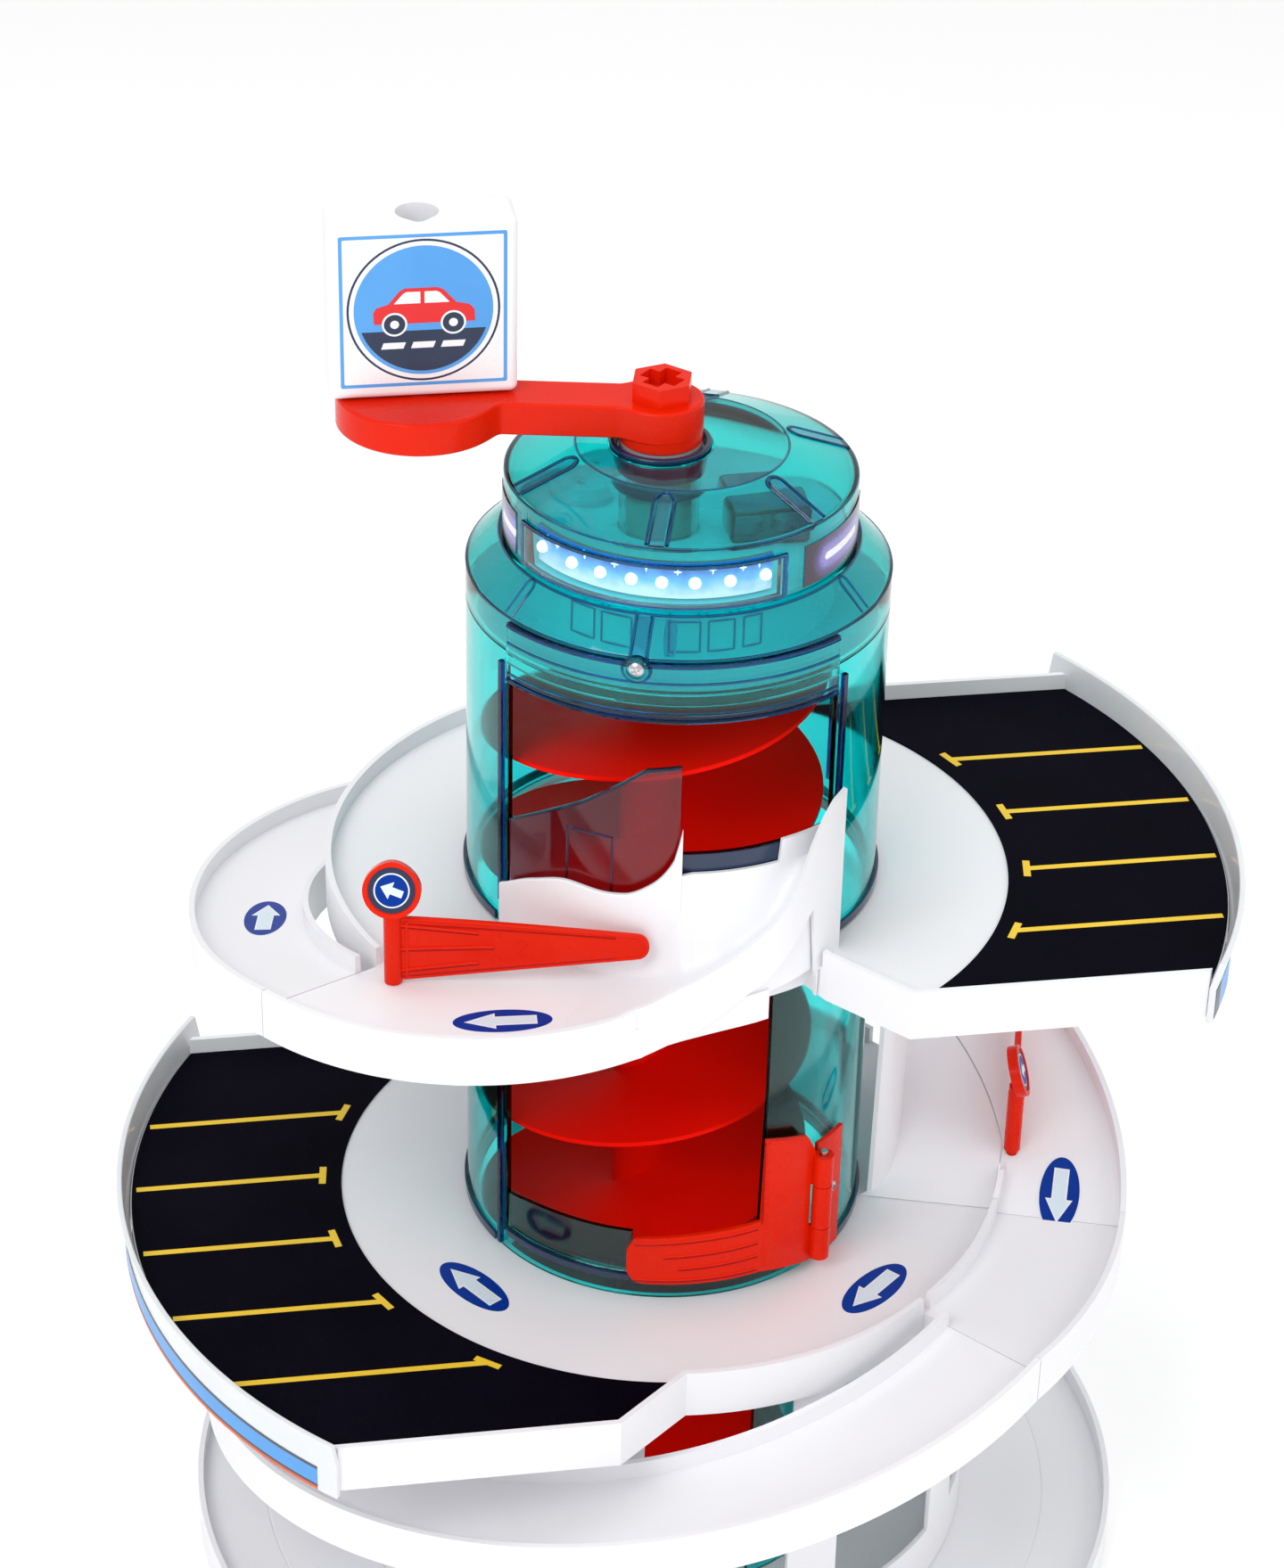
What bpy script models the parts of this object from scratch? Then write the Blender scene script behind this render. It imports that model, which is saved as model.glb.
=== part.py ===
"""Toy parking garage: a clear tower with a hand-cranked spiral car lift, two
parking decks, the ramps between them and a lamp cap with a crank on top.

Lengths below are in millimetres and become metres when a mesh is made.
The origin is on the tower's axis, at the underside of the base tray.
+X points to the upper deck's parking bays, +Y to the back, +Z up.
Angles are in degrees about the tower's axis, from +X towards +Y.
"""

import bmesh
import bpy
import math
from mathutils import Vector

MM = 0.001

# ---------------------------------------------------------------- main sizes
Z_BASE = 12.0          # ground lane
Z_DECK_1 = 176.4       # lower parking deck, upper side of its floor
Z_DECK_2 = 340.8       # upper parking deck
Z_RING = 469.4         # underside of the cap's ring
GAP = 0.3              # between touching pieces

R_TUBE = 85.0          # outside of the clear tower
T_TUBE = 2.4
R_HOLE = 80.5          # hole in each deck, for the spiral
R_RING_LANE = 143.5    # outside of the ring lane's rim
R_PARKING = 231.5      # outer edge of the parking bays
R_RAMP_IN = 151.0
R_RAMP_OUT = 202.5
RIM_UP = 8.0           # rim above the floor
RIM_DOWN = 14.0        # skirt below it
FLOOR = 2.5
WALL = 2.5

SHAFT = (-8.6, 0.0)    # axis of the spiral and of the crank
R_SPIRAL = 70.5
R_COLUMN = 13.0
R_BORE = 10.5         # inside of the spiral's hollow column
PITCH = 59.2
T_BLADE = 2.0
SPIRAL_ZERO = 27.6     # height of the spiral at 0 degrees

CRANK_END = (-101.5, 17.5)
GATE_2_AXIS = (-123.7, -74.4)
GATE_1_AXIS = (153.5, -14.5)
LOBE_CENTRE = (-82.3, -8.0)   # front lane of the upper deck
R_LOBE = 122.3
EXIT_GATE_ANGLE = -53.0
R_EXIT_HINGE = 92.0

RED = (0.80, 0.035, 0.01)
WHITE = (0.86, 0.86, 0.90)
TEAL = (0.0, 0.42, 0.42)
NAVY = (0.01, 0.05, 0.14)
BLACK = (0.012, 0.010, 0.016)
GREY = (0.35, 0.36, 0.38)
STEEL = (0.62, 0.62, 0.64)
CLEAR = (0.80, 0.90, 0.95)

for old in list(bpy.data.objects):
    bpy.data.objects.remove(old, do_unlink=True)


# ---------------------------------------------------------------- tools
def polar(radius, angle, centre=(0.0, 0.0)):
    a = math.radians(angle)
    return (centre[0] + radius * math.cos(a), centre[1] + radius * math.sin(a))


def steps_between(low, high, count):
    return [low + (high - low) * i / count for i in range(count + 1)]


def lerp_table(table, x):
    """Straight-line reading of a table of (x, value), sorted by x."""
    if x <= table[0][0]:
        return table[0][1]
    for (x0, v0), (x1, v1) in zip(table, table[1:]):
        if x <= x1:
            return v0 + (v1 - v0) * (x - x0) / (x1 - x0)
    return table[-1][1]


def plastic(name, colour, rough=0.25, metal=0.0, alpha=1.0):
    made = bpy.data.materials.new(name)
    made.use_nodes = True
    shader = made.node_tree.nodes["Principled BSDF"]
    shader.inputs["Base Color"].default_value = (*colour, 1.0)
    shader.inputs["Roughness"].default_value = rough
    shader.inputs["Metallic"].default_value = metal
    shader.inputs["Alpha"].default_value = alpha
    made.diffuse_color = (*colour, alpha)
    return made


def place(name, bm, look, origin=(0.0, 0.0, 0.0), smooth=35.0):
    """Makes the object, with its origin at a point given in millimetres."""
    bmesh.ops.recalc_face_normals(bm, faces=bm.faces)
    at = Vector(origin)
    for vert in bm.verts:
        vert.co = (vert.co - at) * MM
    mesh = bpy.data.meshes.new(name)
    bm.to_mesh(mesh)
    bm.free()
    made = bpy.data.objects.new(name, mesh)
    made.location = at * MM
    bpy.context.scene.collection.objects.link(made)
    if look is not None:
        mesh.materials.append(look)
        mesh.shade_smooth()
        mesh.set_sharp_from_angle(angle=math.radians(smooth))
    return made


def sweep(bm, stations, closed=False):
    """Skins a row of equal closed loops and caps the ends of an open row."""
    rings = [[bm.verts.new(Vector(p)) for p in loop] for loop in stations]
    count = len(rings[0])
    pairs = list(zip(rings, rings[1:]))
    if closed:
        pairs.append((rings[-1], rings[0]))
    for first, second in pairs:
        for i in range(count):
            j = (i + 1) % count
            bm.faces.new((first[i], first[j], second[j], second[i]))
    if not closed:
        bm.faces.new(list(reversed(rings[0])))
        bm.faces.new(rings[-1])
    return bm


def turned(bm, profile, steps=48, centre=(0.0, 0.0), start=0.0, end=360.0):
    """A profile of (radius, z) turned about an upright axis. A point at
    radius 0 becomes one vertex."""
    full = abs(end - start) >= 359.999
    angles = steps_between(start, end, steps)
    if full:
        angles = angles[:-1]
    loops = [[(*polar(r, a, centre), z) for r, z in profile] for a in angles]
    sweep(bm, loops, closed=full)
    if min(r for r, z in profile) == 0.0:
        bmesh.ops.remove_doubles(bm, verts=bm.verts, dist=0.0001)
    return bm


def prism(bm, outline, low, high):
    return sweep(bm, [[(x, y, low) for x, y in outline], [(x, y, high) for x, y in outline]])


def rod(bm, start, end, radius, sides=24):
    """A round rod between two points."""
    a, b = Vector(start), Vector(end)
    along = (b - a).normalized()
    side = along.orthogonal().normalized()
    other = along.cross(side)
    loops = []
    for at in (a, b):
        loops.append([
            at + side * radius * math.cos(2 * math.pi * k / sides)
            + other * radius * math.sin(2 * math.pi * k / sides)
            for k in range(sides)
        ])
    return sweep(bm, loops)


def block(bm, centre, size, turn=0.0):
    cx, cy, cz = centre
    hx, hy, hz = (s / 2 for s in size)
    c, s = math.cos(math.radians(turn)), math.sin(math.radians(turn))
    outline = [(cx + x * c - y * s, cy + x * s + y * c)
               for x, y in ((-hx, -hy), (hx, -hy), (hx, hy), (-hx, hy))]
    return prism(bm, outline, cz - hz, cz + hz)


def circle(radius, count, centre=(0.0, 0.0), turn=0.0):
    return [polar(radius, turn + 360.0 * k / count, centre) for k in range(count)]


def helper(name, bm):
    """A tool for a Boolean. It isn't a piece of the toy."""
    made = place(name, bm, None)
    made.hide_render = True
    made.display_type = "WIRE"
    return made


def boolean(target, tool, operation):
    step = target.modifiers.new(tool.name, "BOOLEAN")
    step.operation = operation
    step.solver = "EXACT"
    step.object = tool


def cut(target, tool):
    boolean(target, tool, "DIFFERENCE")


def join(target, tool):
    boolean(target, tool, "UNION")


def inset(outline, distances):
    """Moves each edge of a closed, anticlockwise outline inwards by its own
    distance. Edge i runs from point i to the next."""
    count = len(outline)
    moved = []
    for i in range(count):
        (x0, y0), (x1, y1) = outline[i], outline[(i + 1) % count]
        length = math.hypot(x1 - x0, y1 - y0)
        nx, ny = -(y1 - y0) / length, (x1 - x0) / length
        d = distances[i]
        moved.append(((x0 + nx * d, y0 + ny * d), ((x1 - x0) / length, (y1 - y0) / length)))
    result = []
    for i in range(count):
        (p, u), (q, v) = moved[i - 1], moved[i]
        cross = u[0] * v[1] - u[1] * v[0]
        if abs(cross) < 0.02:
            x1, y1 = outline[i]
            d = (distances[i - 1] + distances[i]) / 2
            nx, ny = -(u[1] + v[1]) / 2, (u[0] + v[0]) / 2
            result.append((x1 + nx * d, y1 + ny * d))
            continue
        t = ((q[0] - p[0]) * v[1] - (q[1] - p[1]) * v[0]) / cross
        result.append((p[0] + u[0] * t, p[1] + u[1] * t))
    return result


def tray(name, runs, z, look):
    """A deck: a floor with a rim above it and a skirt below. runs is a list of
    (points, walled); an edge that isn't walled has no rim above the floor."""
    outline, above, below = [], [], []
    for points, walled in runs:
        for point in points:
            outline.append(point)
            above.append(WALL if walled else -5.0)
            below.append(WALL)
    deck = place(name, prism(bmesh.new(), outline, z - RIM_DOWN, z + RIM_UP), look)
    cut(deck, helper(name + "_upper_pocket", prism(bmesh.new(), inset(outline, above), z, z + RIM_UP + 5)))
    cut(deck, helper(name + "_under_pocket", prism(bmesh.new(), inset(outline, below), z - RIM_DOWN - 5, z - FLOOR)))
    cut(deck, helper(name + "_lift_hole", prism(bmesh.new(), circle(R_HOLE, 48), z - RIM_DOWN - 6, z + RIM_UP + 6)))
    return deck


def arc(radius, start, end, step=5.0, centre=(0.0, 0.0), last=False):
    count = max(1, round(abs(end - start) / step))
    points = [polar(radius, a, centre) for a in steps_between(start, end, count)]
    return points if last else points[:-1]


# ---------------------------------------------------------------- base
white = plastic("base_tray_white", WHITE, 0.3)
base = place("base_tray", prism(bmesh.new(), circle(208.5, 56), 0, Z_BASE + RIM_UP), white)
cut(base, helper("base_upper_pocket", prism(bmesh.new(), circle(206.0, 56), Z_BASE, Z_BASE + 20)))
cut(base, helper("base_under_pocket", turned(
    bmesh.new(), [(26.0, -5.0), (206.0, -5.0), (206.0, Z_BASE - FLOOR), (26.0, Z_BASE - FLOOR)])))
cut(base, helper("base_drive_in", turned(
    bmesh.new(), [(200.0, Z_BASE), (215.0, Z_BASE), (215.0, 40.0), (200.0, 40.0)],
    steps=8, start=-68.0, end=-48.0)))

place("pivot_post", turned(bmesh.new(), [(0.0, Z_BASE + GAP), (R_BORE - 0.4, Z_BASE + GAP), (R_BORE - 0.4, 38.0),
                                          (R_BORE - 1.6, 40.0), (0.0, 40.0)], steps=24, centre=SHAFT), plastic("pivot_post_grey", GREY, 0.4))

SKIRT_OUT = R_RING_LANE - WALL - 0.6
# Five wall panels, which meet in the middle of every second column.
for number in range(5):
    skirt = place(f"support_skirt_{number + 1}", turned(bmesh.new(), [
        (SKIRT_OUT - WALL, Z_BASE + GAP), (SKIRT_OUT, Z_BASE + GAP),
        (SKIRT_OUT, Z_DECK_1 - FLOOR - GAP), (SKIRT_OUT - WALL, Z_DECK_1 - FLOOR - GAP)],
        steps=12, start=-106.8 + 72.0 * number + 0.07, end=-34.8 + 72.0 * number - 0.07),
        plastic(f"support_skirt_{number + 1}_white", WHITE, 0.3))
    for k in (2 * number, 2 * number + 1):
        middle = -88.8 + 36.0 * k
        sill = Z_BASE - 2 if k in (0, 9) else Z_BASE + 26
        window = helper(f"skirt_window_{k}", turned(bmesh.new(), [
            (SKIRT_OUT - 12, sill), (SKIRT_OUT + 12, sill),
            (SKIRT_OUT + 12, Z_DECK_1 - 17), (SKIRT_OUT - 12, Z_DECK_1 - 17)],
            steps=5, start=middle - 13.0, end=middle + 13.0))
        cut(skirt, window)


# ---------------------------------------------------------------- deck outlines
def edge_x(radius, y):
    return math.sqrt(radius * radius - y * y)


SEAM_1 = -49.0    # the lower ramp starts here
LAND_1 = -18.0    # the upper ramp ends here
BACK = 120.5
FRONT_1 = -169.5
FRONT_2 = -120.5
back_corner = math.degrees(math.asin(BACK / R_RING_LANE))
back_parking = math.degrees(math.asin(BACK / R_PARKING))
front_parking_1 = math.degrees(math.asin(-FRONT_1 / R_PARKING))
front_parking_2 = math.degrees(math.asin(-FRONT_2 / R_PARKING))

deck_1 = tray("deck_1", [
    (arc(R_RAMP_OUT, SEAM_1, LAND_1), True),
    ([polar(R_RAMP_OUT, LAND_1)], False),
    (arc(R_RING_LANE, LAND_1, 180 - back_corner), True),
    ([polar(R_RING_LANE, 180 - back_corner)], True),
    (arc(R_PARKING, 180 - back_parking, 180 + front_parking_1), False),
    ([polar(R_PARKING, 180 + front_parking_1)], True),
    ([(-44.0, FRONT_1)], True),
    (arc(R_RING_LANE, -95.2, SEAM_1), True),
    ([polar(R_RING_LANE, SEAM_1)], False),
], Z_DECK_1, plastic("deck_1_white", WHITE, 0.3))

# The wall that parts the ring lane from the outer lane. Its middle line runs
# on as the upper ramp's inner wall.
PART_WALL = [(-4.0, 152.2), (-6.0, 151.0), (-10.0, 148.9), (-15.0, 147.0), (-23.4, 145.0), (-34.0, 143.6), (-43.0, 142.6), (-47.6, 142.4)]
loops = []
for angle in steps_between(LAND_1 - 0.3, -47.6, 7):
    r = lerp_table([(-a, r) for a, r in PART_WALL], -angle)
    loops.append([(*polar(r - 1.25, angle), Z_DECK_1 - 1.2), (*polar(r + 1.25, angle), Z_DECK_1 - 1.2),
                  (*polar(r + 1.25, angle), Z_DECK_1 + RIM_UP - 0.01), (*polar(r - 1.25, angle), Z_DECK_1 + RIM_UP - 0.01)])
join(deck_1, helper("deck_1_part_wall", sweep(bmesh.new(), loops)))
# The ramp's floor comes in over the ring lane's rim here.
cut(deck_1, helper("deck_1_apron_gap", turned(bmesh.new(), [(139.0, Z_DECK_1), (148.0, Z_DECK_1), (148.0, Z_DECK_1 + 20), (139.0, Z_DECK_1 + 20)],
                                              steps=12, start=LAND_1 + 0.3, end=38.0)))


def lobe_radius(angle):
    """Distance from the tower's axis to the front lane's outer circle."""
    c, s = math.cos(math.radians(angle)), math.sin(math.radians(angle))
    along = LOBE_CENTRE[0] * c + LOBE_CENTRE[1] * s
    off2 = LOBE_CENTRE[0] ** 2 + LOBE_CENTRE[1] ** 2 - along * along
    return along + math.sqrt(R_LOBE * R_LOBE - off2)


SLIDE_OUT = [(-106.0, lobe_radius(-106.0)), (-97.5, 113.0), (-87.3, 106.4), (-76.0, 103.0), (-65.0, 98.9), (-49.0, 91.2)]


def front_radius(angle):
    """Outside of the upper deck's front lane, from the ramp to the tower."""
    return lobe_radius(angle) if angle < -106.0 else lerp_table(SLIDE_OUT, angle)


def front_slant(angle):
    """How much thicker a wall along that edge is when measured along the radius."""
    change = (front_radius(angle + 0.8) - front_radius(angle - 0.8)) / math.radians(1.6)
    return math.hypot(1.0, change / front_radius(angle))


# Under the exit slide the deck's skirt stands back behind the slide's outer
# wall. Further right only a narrow collar round the tower is left, up to the
# corner where the parking area's slanting side starts.
SEAM_2 = 206.0    # the upper ramp starts here
SLIDE_STEPS = [-104.7, -101.0, -97.0, -94.5, -90.9, -87.3, -83.5, -80.0, -76.6]
R_COLLAR_2 = 88.0
front_edge = [polar(front_radius(a), a) for a in steps_between(SEAM_2 - 360.0, -106.0, 16)]
slide_edge = [front_edge.pop()]
slide_edge += [polar(front_radius(a) - 2.0 * front_slant(a) - 0.35, a) for a in [-105.5] + SLIDE_STEPS]
slide_edge += [polar(R_COLLAR_2, a) for a in (-75.4, -71.0, -66.5)]
deck_2 = tray("deck_2", [
    ([(48.6, -89.5)], True),
    ([(76.5, FRONT_2)], True),
    (arc(R_PARKING, -front_parking_2, back_parking), False),
    ([polar(R_PARKING, back_parking)], True),
    (arc(R_RING_LANE, back_corner, SEAM_2), True),
    ([polar(R_RING_LANE, SEAM_2)], False),
    (front_edge, True),
    (slide_edge, False),
    ([polar(R_COLLAR_2, -61.5)], True),
], Z_DECK_2, plastic("deck_2_white", WHITE, 0.3))
loops = []
for angle in steps_between(-106.0, -52.0, 18):
    loops.append([(*polar(84.0, angle), Z_DECK_2), (*polar(front_radius(angle) + 1.5, angle), Z_DECK_2),
                  (*polar(front_radius(angle) + 1.5, angle), Z_DECK_2 + 20), (*polar(84.0, angle), Z_DECK_2 + 20)])
cut(deck_2, helper("deck_2_slide_gap", sweep(bmesh.new(), loops)))
cut(deck_2, helper("deck_2_gate_hole", turned(bmesh.new(), [(0.0, Z_DECK_2 - 8), (2.6, Z_DECK_2 - 8), (2.6, Z_DECK_2 + 4), (0.0, Z_DECK_2 + 4)],
                                              steps=16, centre=GATE_2_AXIS)))


# ---------------------------------------------------------------- ramps
def ramp(name, start, end, z_start, z_end, outer, inner, lowest, look, rim_in=lambda a: RIM_UP):
    loops = []
    for angle in steps_between(start, end, round(abs(end - start) / 5.0)):
        z = z_start + (z_end - z_start) * (angle - start) / (end - start)
        r0, r1 = inner(angle), outer(angle)
        top_in = z + rim_in(angle)
        skirt_z = max(z - RIM_DOWN, lowest)
        floor_z = max(z - FLOOR, lowest + 0.05)
        rows = [(r0, top_in), (r0 + WALL, top_in), (r0 + WALL, z), (r1 - WALL, z), (r1 - WALL, z + RIM_UP),
                (r1, z + RIM_UP), (r1, skirt_z), (r1 - WALL, skirt_z), (r1 - WALL, floor_z), (r0 + WALL, floor_z),
                (r0 + WALL, skirt_z), (r0, skirt_z)]
        loops.append([(*polar(r, angle), h) for r, h in rows])
    return place(name, sweep(bmesh.new(), loops), look)


def upper_outer(angle):
    return lerp_table([(LAND_1, R_RAMP_OUT), (60.0, R_RAMP_OUT), (150.0, 200.5), (186.0, 200.5),
                       (SEAM_2, front_radius(SEAM_2 - 360.0))], angle)


def upper_inner(angle):
    """Inner edge of the upper ramp. Its wall lines up with the part wall."""
    return min(R_RAMP_IN, lerp_table([(-a, r - 1.25) for a, r in PART_WALL], -angle)) if angle < -3.0 else R_RAMP_IN


def upper_floor(angle):
    return Z_DECK_1 + (Z_DECK_2 - Z_DECK_1) * (angle - LAND_1) / (SEAM_2 - LAND_1)


upper_ramp = ramp("upper_ramp", SEAM_2 - 0.15, LAND_1 + 0.15, Z_DECK_2, Z_DECK_1, upper_outer, upper_inner,
                  0.0, plastic("upper_ramp_white", WHITE, 0.3),
                  rim_in=lambda a: lerp_table([(-12.0, RIM_UP), (-9.0, 0.02), (35.0, 0.02), (41.0, RIM_UP)], a))
cut(upper_ramp, helper("ramp_gate_hole", turned(bmesh.new(), [(0.0, Z_DECK_1 - 2), (2.6, Z_DECK_1 - 2), (2.6, Z_DECK_1 + 14), (0.0, Z_DECK_1 + 14)],
                                                steps=16, centre=GATE_1_AXIS)))
ramp("lower_ramp", SEAM_1 - 0.15, -272.0, Z_DECK_1, Z_BASE + 1.8, lambda a: R_RAMP_OUT,
     lambda a: lerp_table([(-75.0, R_RAMP_IN), (SEAM_1, 153.5)], a),
     Z_BASE + GAP, plastic("lower_ramp_white", WHITE, 0.3))

# The sloping floor between the upper ramp and the tower. Its inner edge stands
# on the deck, and its wall reaches up to the underside of the upper deck.
APRON_IN = [(-17.0, 87.6), (-13.0, 95.0), (-6.4, 100.2), (0.5, 104.5), (7.3, 109.5), (16.0, 116.0), (21.4, 122.0), (28.0, 134.0), (34.0, 147.0)]
loops = []
for angle in [-17.0, -15.1] + steps_between(-14.9, 34.0, 12):
    z = upper_floor(angle)
    r0, r1 = lerp_table(APRON_IN, angle), upper_inner(angle) - 0.8
    under = max(z - FLOOR, Z_DECK_1 + GAP)
    top = Z_DECK_2 - FLOOR - GAP if angle > -15.0 else z + 0.02
    rows = [(r0, top), (r0 + 2.0, top), (r0 + 2.0, z), (r1, z), (r1, under), (r0 + 2.0, under + 0.01), (r0 + 2.0, Z_DECK_1 + GAP), (r0, Z_DECK_1 + GAP)]
    loops.append([(*polar(r, angle), h) for r, h in rows])
place("lane_apron", sweep(bmesh.new(), loops), plastic("lane_apron_white", WHITE, 0.3))


# ---------------------------------------------------------------- parking mats and guard rails
def mat(name, outline, z):
    place(name, prism(bmesh.new(), outline, z + GAP, z + GAP + 0.6), plastic(name + "_black", BLACK, 0.6))


inner_back = BACK - WALL - 0.4
mat("parking_mat_2",
    arc(R_PARKING - 0.5, -math.degrees(math.asin(inner_back / (R_PARKING - 0.5))),
        math.degrees(math.asin(inner_back / (R_PARKING - 0.5))), last=True)
    + [(80.5, inner_back)] + arc(140.6, 55.4, -55.4, last=True) + [(80.5, -inner_back)],
    Z_DECK_2)
inner_front = -FRONT_1 - WALL - 0.4
mat("parking_mat_1",
    arc(R_PARKING - 0.5, 180 - math.degrees(math.asin(inner_back / (R_PARKING - 0.5))),
        180 + math.degrees(math.asin(inner_front / (R_PARKING - 0.5))), last=True)
    + [(-46.4, -inner_front), (-19.0, -143.2)]
    + arc(140.2, 262.3, 124.6, last=True) + [(-80.5, inner_back)],
    Z_DECK_1)


def rail(name, start, end, z):
    profile = [(R_PARKING + 0.4, -16.0), (R_PARKING + 0.4, 0.5), (R_PARKING + 3.2, 13.0), (R_PARKING + 5.8, 13.0),
               (R_PARKING + 3.0, 0.0), (R_PARKING + 3.0, -16.0)]
    place(name, turned(bmesh.new(), [(r, z + h) for r, h in profile], steps=round((end - start) / 4.0),
                       start=start, end=end), plastic(name + "_white", WHITE, 0.25))


rail("guard_rail_2", -front_parking_2 - 0.3, back_parking + 2.2, Z_DECK_2)
rail("guard_rail_1", 180 - back_parking - 2.2, 180 + front_parking_1 + 0.3, Z_DECK_1)


# ---------------------------------------------------------------- clear tower
def tube(name, low, high, windows):
    look = plastic(name + "_teal", TEAL, 0.05, alpha=0.45)
    made = place(name, turned(bmesh.new(), [(R_TUBE - T_TUBE, low), (R_TUBE, low), (R_TUBE, high), (R_TUBE - T_TUBE, high)]), look)
    for number, (start, end, bottom, top) in enumerate(windows):
        cut(made, helper(f"{name}_window_{number}", turned(bmesh.new(), [
            (R_TUBE - 9, bottom), (R_TUBE + 9, bottom), (R_TUBE + 9, top), (R_TUBE - 9, top)],
            steps=max(4, round((end - start) / 5.0)), start=start, end=end)))
    return made


OPEN_LEFT, OPEN_RIGHT = -150.3, -70.0
tube("tube_lower", Z_BASE + GAP, Z_DECK_1 - FLOOR - GAP, [(OPEN_LEFT, OPEN_RIGHT, Z_BASE - 3, Z_DECK_1 - 12)])
tube("tube_middle", Z_DECK_1 + GAP, Z_DECK_2 - FLOOR - GAP, [(OPEN_LEFT, OPEN_RIGHT, Z_DECK_1 + 13, Z_DECK_2 - 12)])
tube("tube_upper", Z_DECK_2 + GAP, Z_RING, [
    (OPEN_LEFT, -97.0, Z_DECK_2 + 13, Z_DECK_2 + 124),
    (-97.4, -52.0, Z_DECK_2 + 57, Z_DECK_2 + 124)])


def curved_panel(name, start, end, r0, r1, bottom, top, look, step=4.0, origin=(0, 0, 0)):
    """A curved sheet whose lower and upper edges are functions of the angle."""
    loops = []
    for angle in steps_between(start, end, round(abs(end - start) / step)):
        loops.append([(*polar(r0, angle), bottom(angle)), (*polar(r1, angle), bottom(angle)),
                      (*polar(r1, angle), top(angle)), (*polar(r0, angle), top(angle))])
    return place(name, sweep(bmesh.new(), loops), look, origin)


GUARD_2_TOP = [(-149.5, 53.0), (-136.6, 64.9), (-125.4, 74.7), (-113.0, 87.9), (-107.2, 94.4), (-97.6, 96.5)]
curved_panel("guard_upper", -149.9, -97.8, 82.7, 84.8, lambda a: Z_DECK_2 + 13 + GAP,
             lambda a: Z_DECK_2 + lerp_table(GUARD_2_TOP, a), plastic("guard_upper_teal", TEAL, 0.05, alpha=0.5))
GUARD_1_TOP = [(-149.5, 30.5), (-138.7, 33.0), (-126.0, 34.0), (-108.0, 34.2)]
curved_panel("guard_middle", -149.9, -108.0, 82.7, 84.8, lambda a: Z_DECK_1 + 13 + GAP,
             lambda a: Z_DECK_1 + lerp_table(GUARD_1_TOP, a), plastic("guard_middle_teal", TEAL, 0.05, alpha=0.5))

# ---------------------------------------------------------------- exit slide on the upper deck
SHIELD_TOP = [(-150.0, 24.0), (-138.3, 34.3), (-127.0, 39.9), (-116.9, 38.6), (-112.0, 39.2), (-105.1, 44.7), (-99.5, 55.6), (-97.2, 71.0)]
curved_panel("slide_shield", -150.3, -97.2, 87.6, 89.9, lambda a: Z_DECK_2 + GAP,
             lambda a: Z_DECK_2 + lerp_table(SHIELD_TOP, a), plastic("slide_shield_white", WHITE, 0.3), step=3.0)

# The slide has a floor that climbs to the opening, an inner wall against the
# tower that runs into the floor in a wide round, and an outer wall whose foot
# climbs too, so that a gap stays open under it. The outer wall ends in a fin
# that reaches down to the deck.
SLIDE_FLOOR = [(-119.5, 0.9), (-112.0, 1.9), (-106.0, 3.6), (-101.0, 5.6), (-95.3, 8.4), (-89.5, 12.5), (-84.8, 16.5), (-80.9, 21.0),
               (-75.9, 27.0), (-72.3, 33.0), (-69.5, 39.0), (-67.0, 43.5), (-64.7, 46.5), (-61.1, 48.5), (-51.0, 50.0)]
SLIDE_WALL = [(-119.5, 8.4), (-106.0, 9.4), (-101.0, 11.0), (-95.3, 13.5), (-89.5, 17.5), (-84.8, 21.5), (-80.9, 26.0), (-75.9, 32.0),
              (-72.3, 38.5), (-69.5, 46.5), (-67.0, 56.0), (-64.7, 63.5), (-61.1, 71.0), (-57.0, 75.0), (-52.0, 75.6)]
SLIDE_FOOT = [(-104.7, -13.8), (-97.0, -12.0), (-94.5, -10.5), (-90.9, -7.5), (-87.3, -3.5), (-83.5, 0.6), (-80.0, 4.0), (-76.6, 8.0),
              (-74.0, 12.0), (-71.2, 17.0), (-67.5, 25.0), (-65.0, 30.5), (-64.3, 19.5), (-62.3, -13.8)]
loops = []
angles = steps_between(-119.5, -109.0, 4) + [-105.7, -105.1] + SLIDE_STEPS[:3] + [-96.4] + SLIDE_STEPS[3:]
angles += [-74.0, -71.2, -70.2, -67.5, -65.0, -64.3, -62.3, -61.8, -58.0, -55.0, -52.4]
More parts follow.
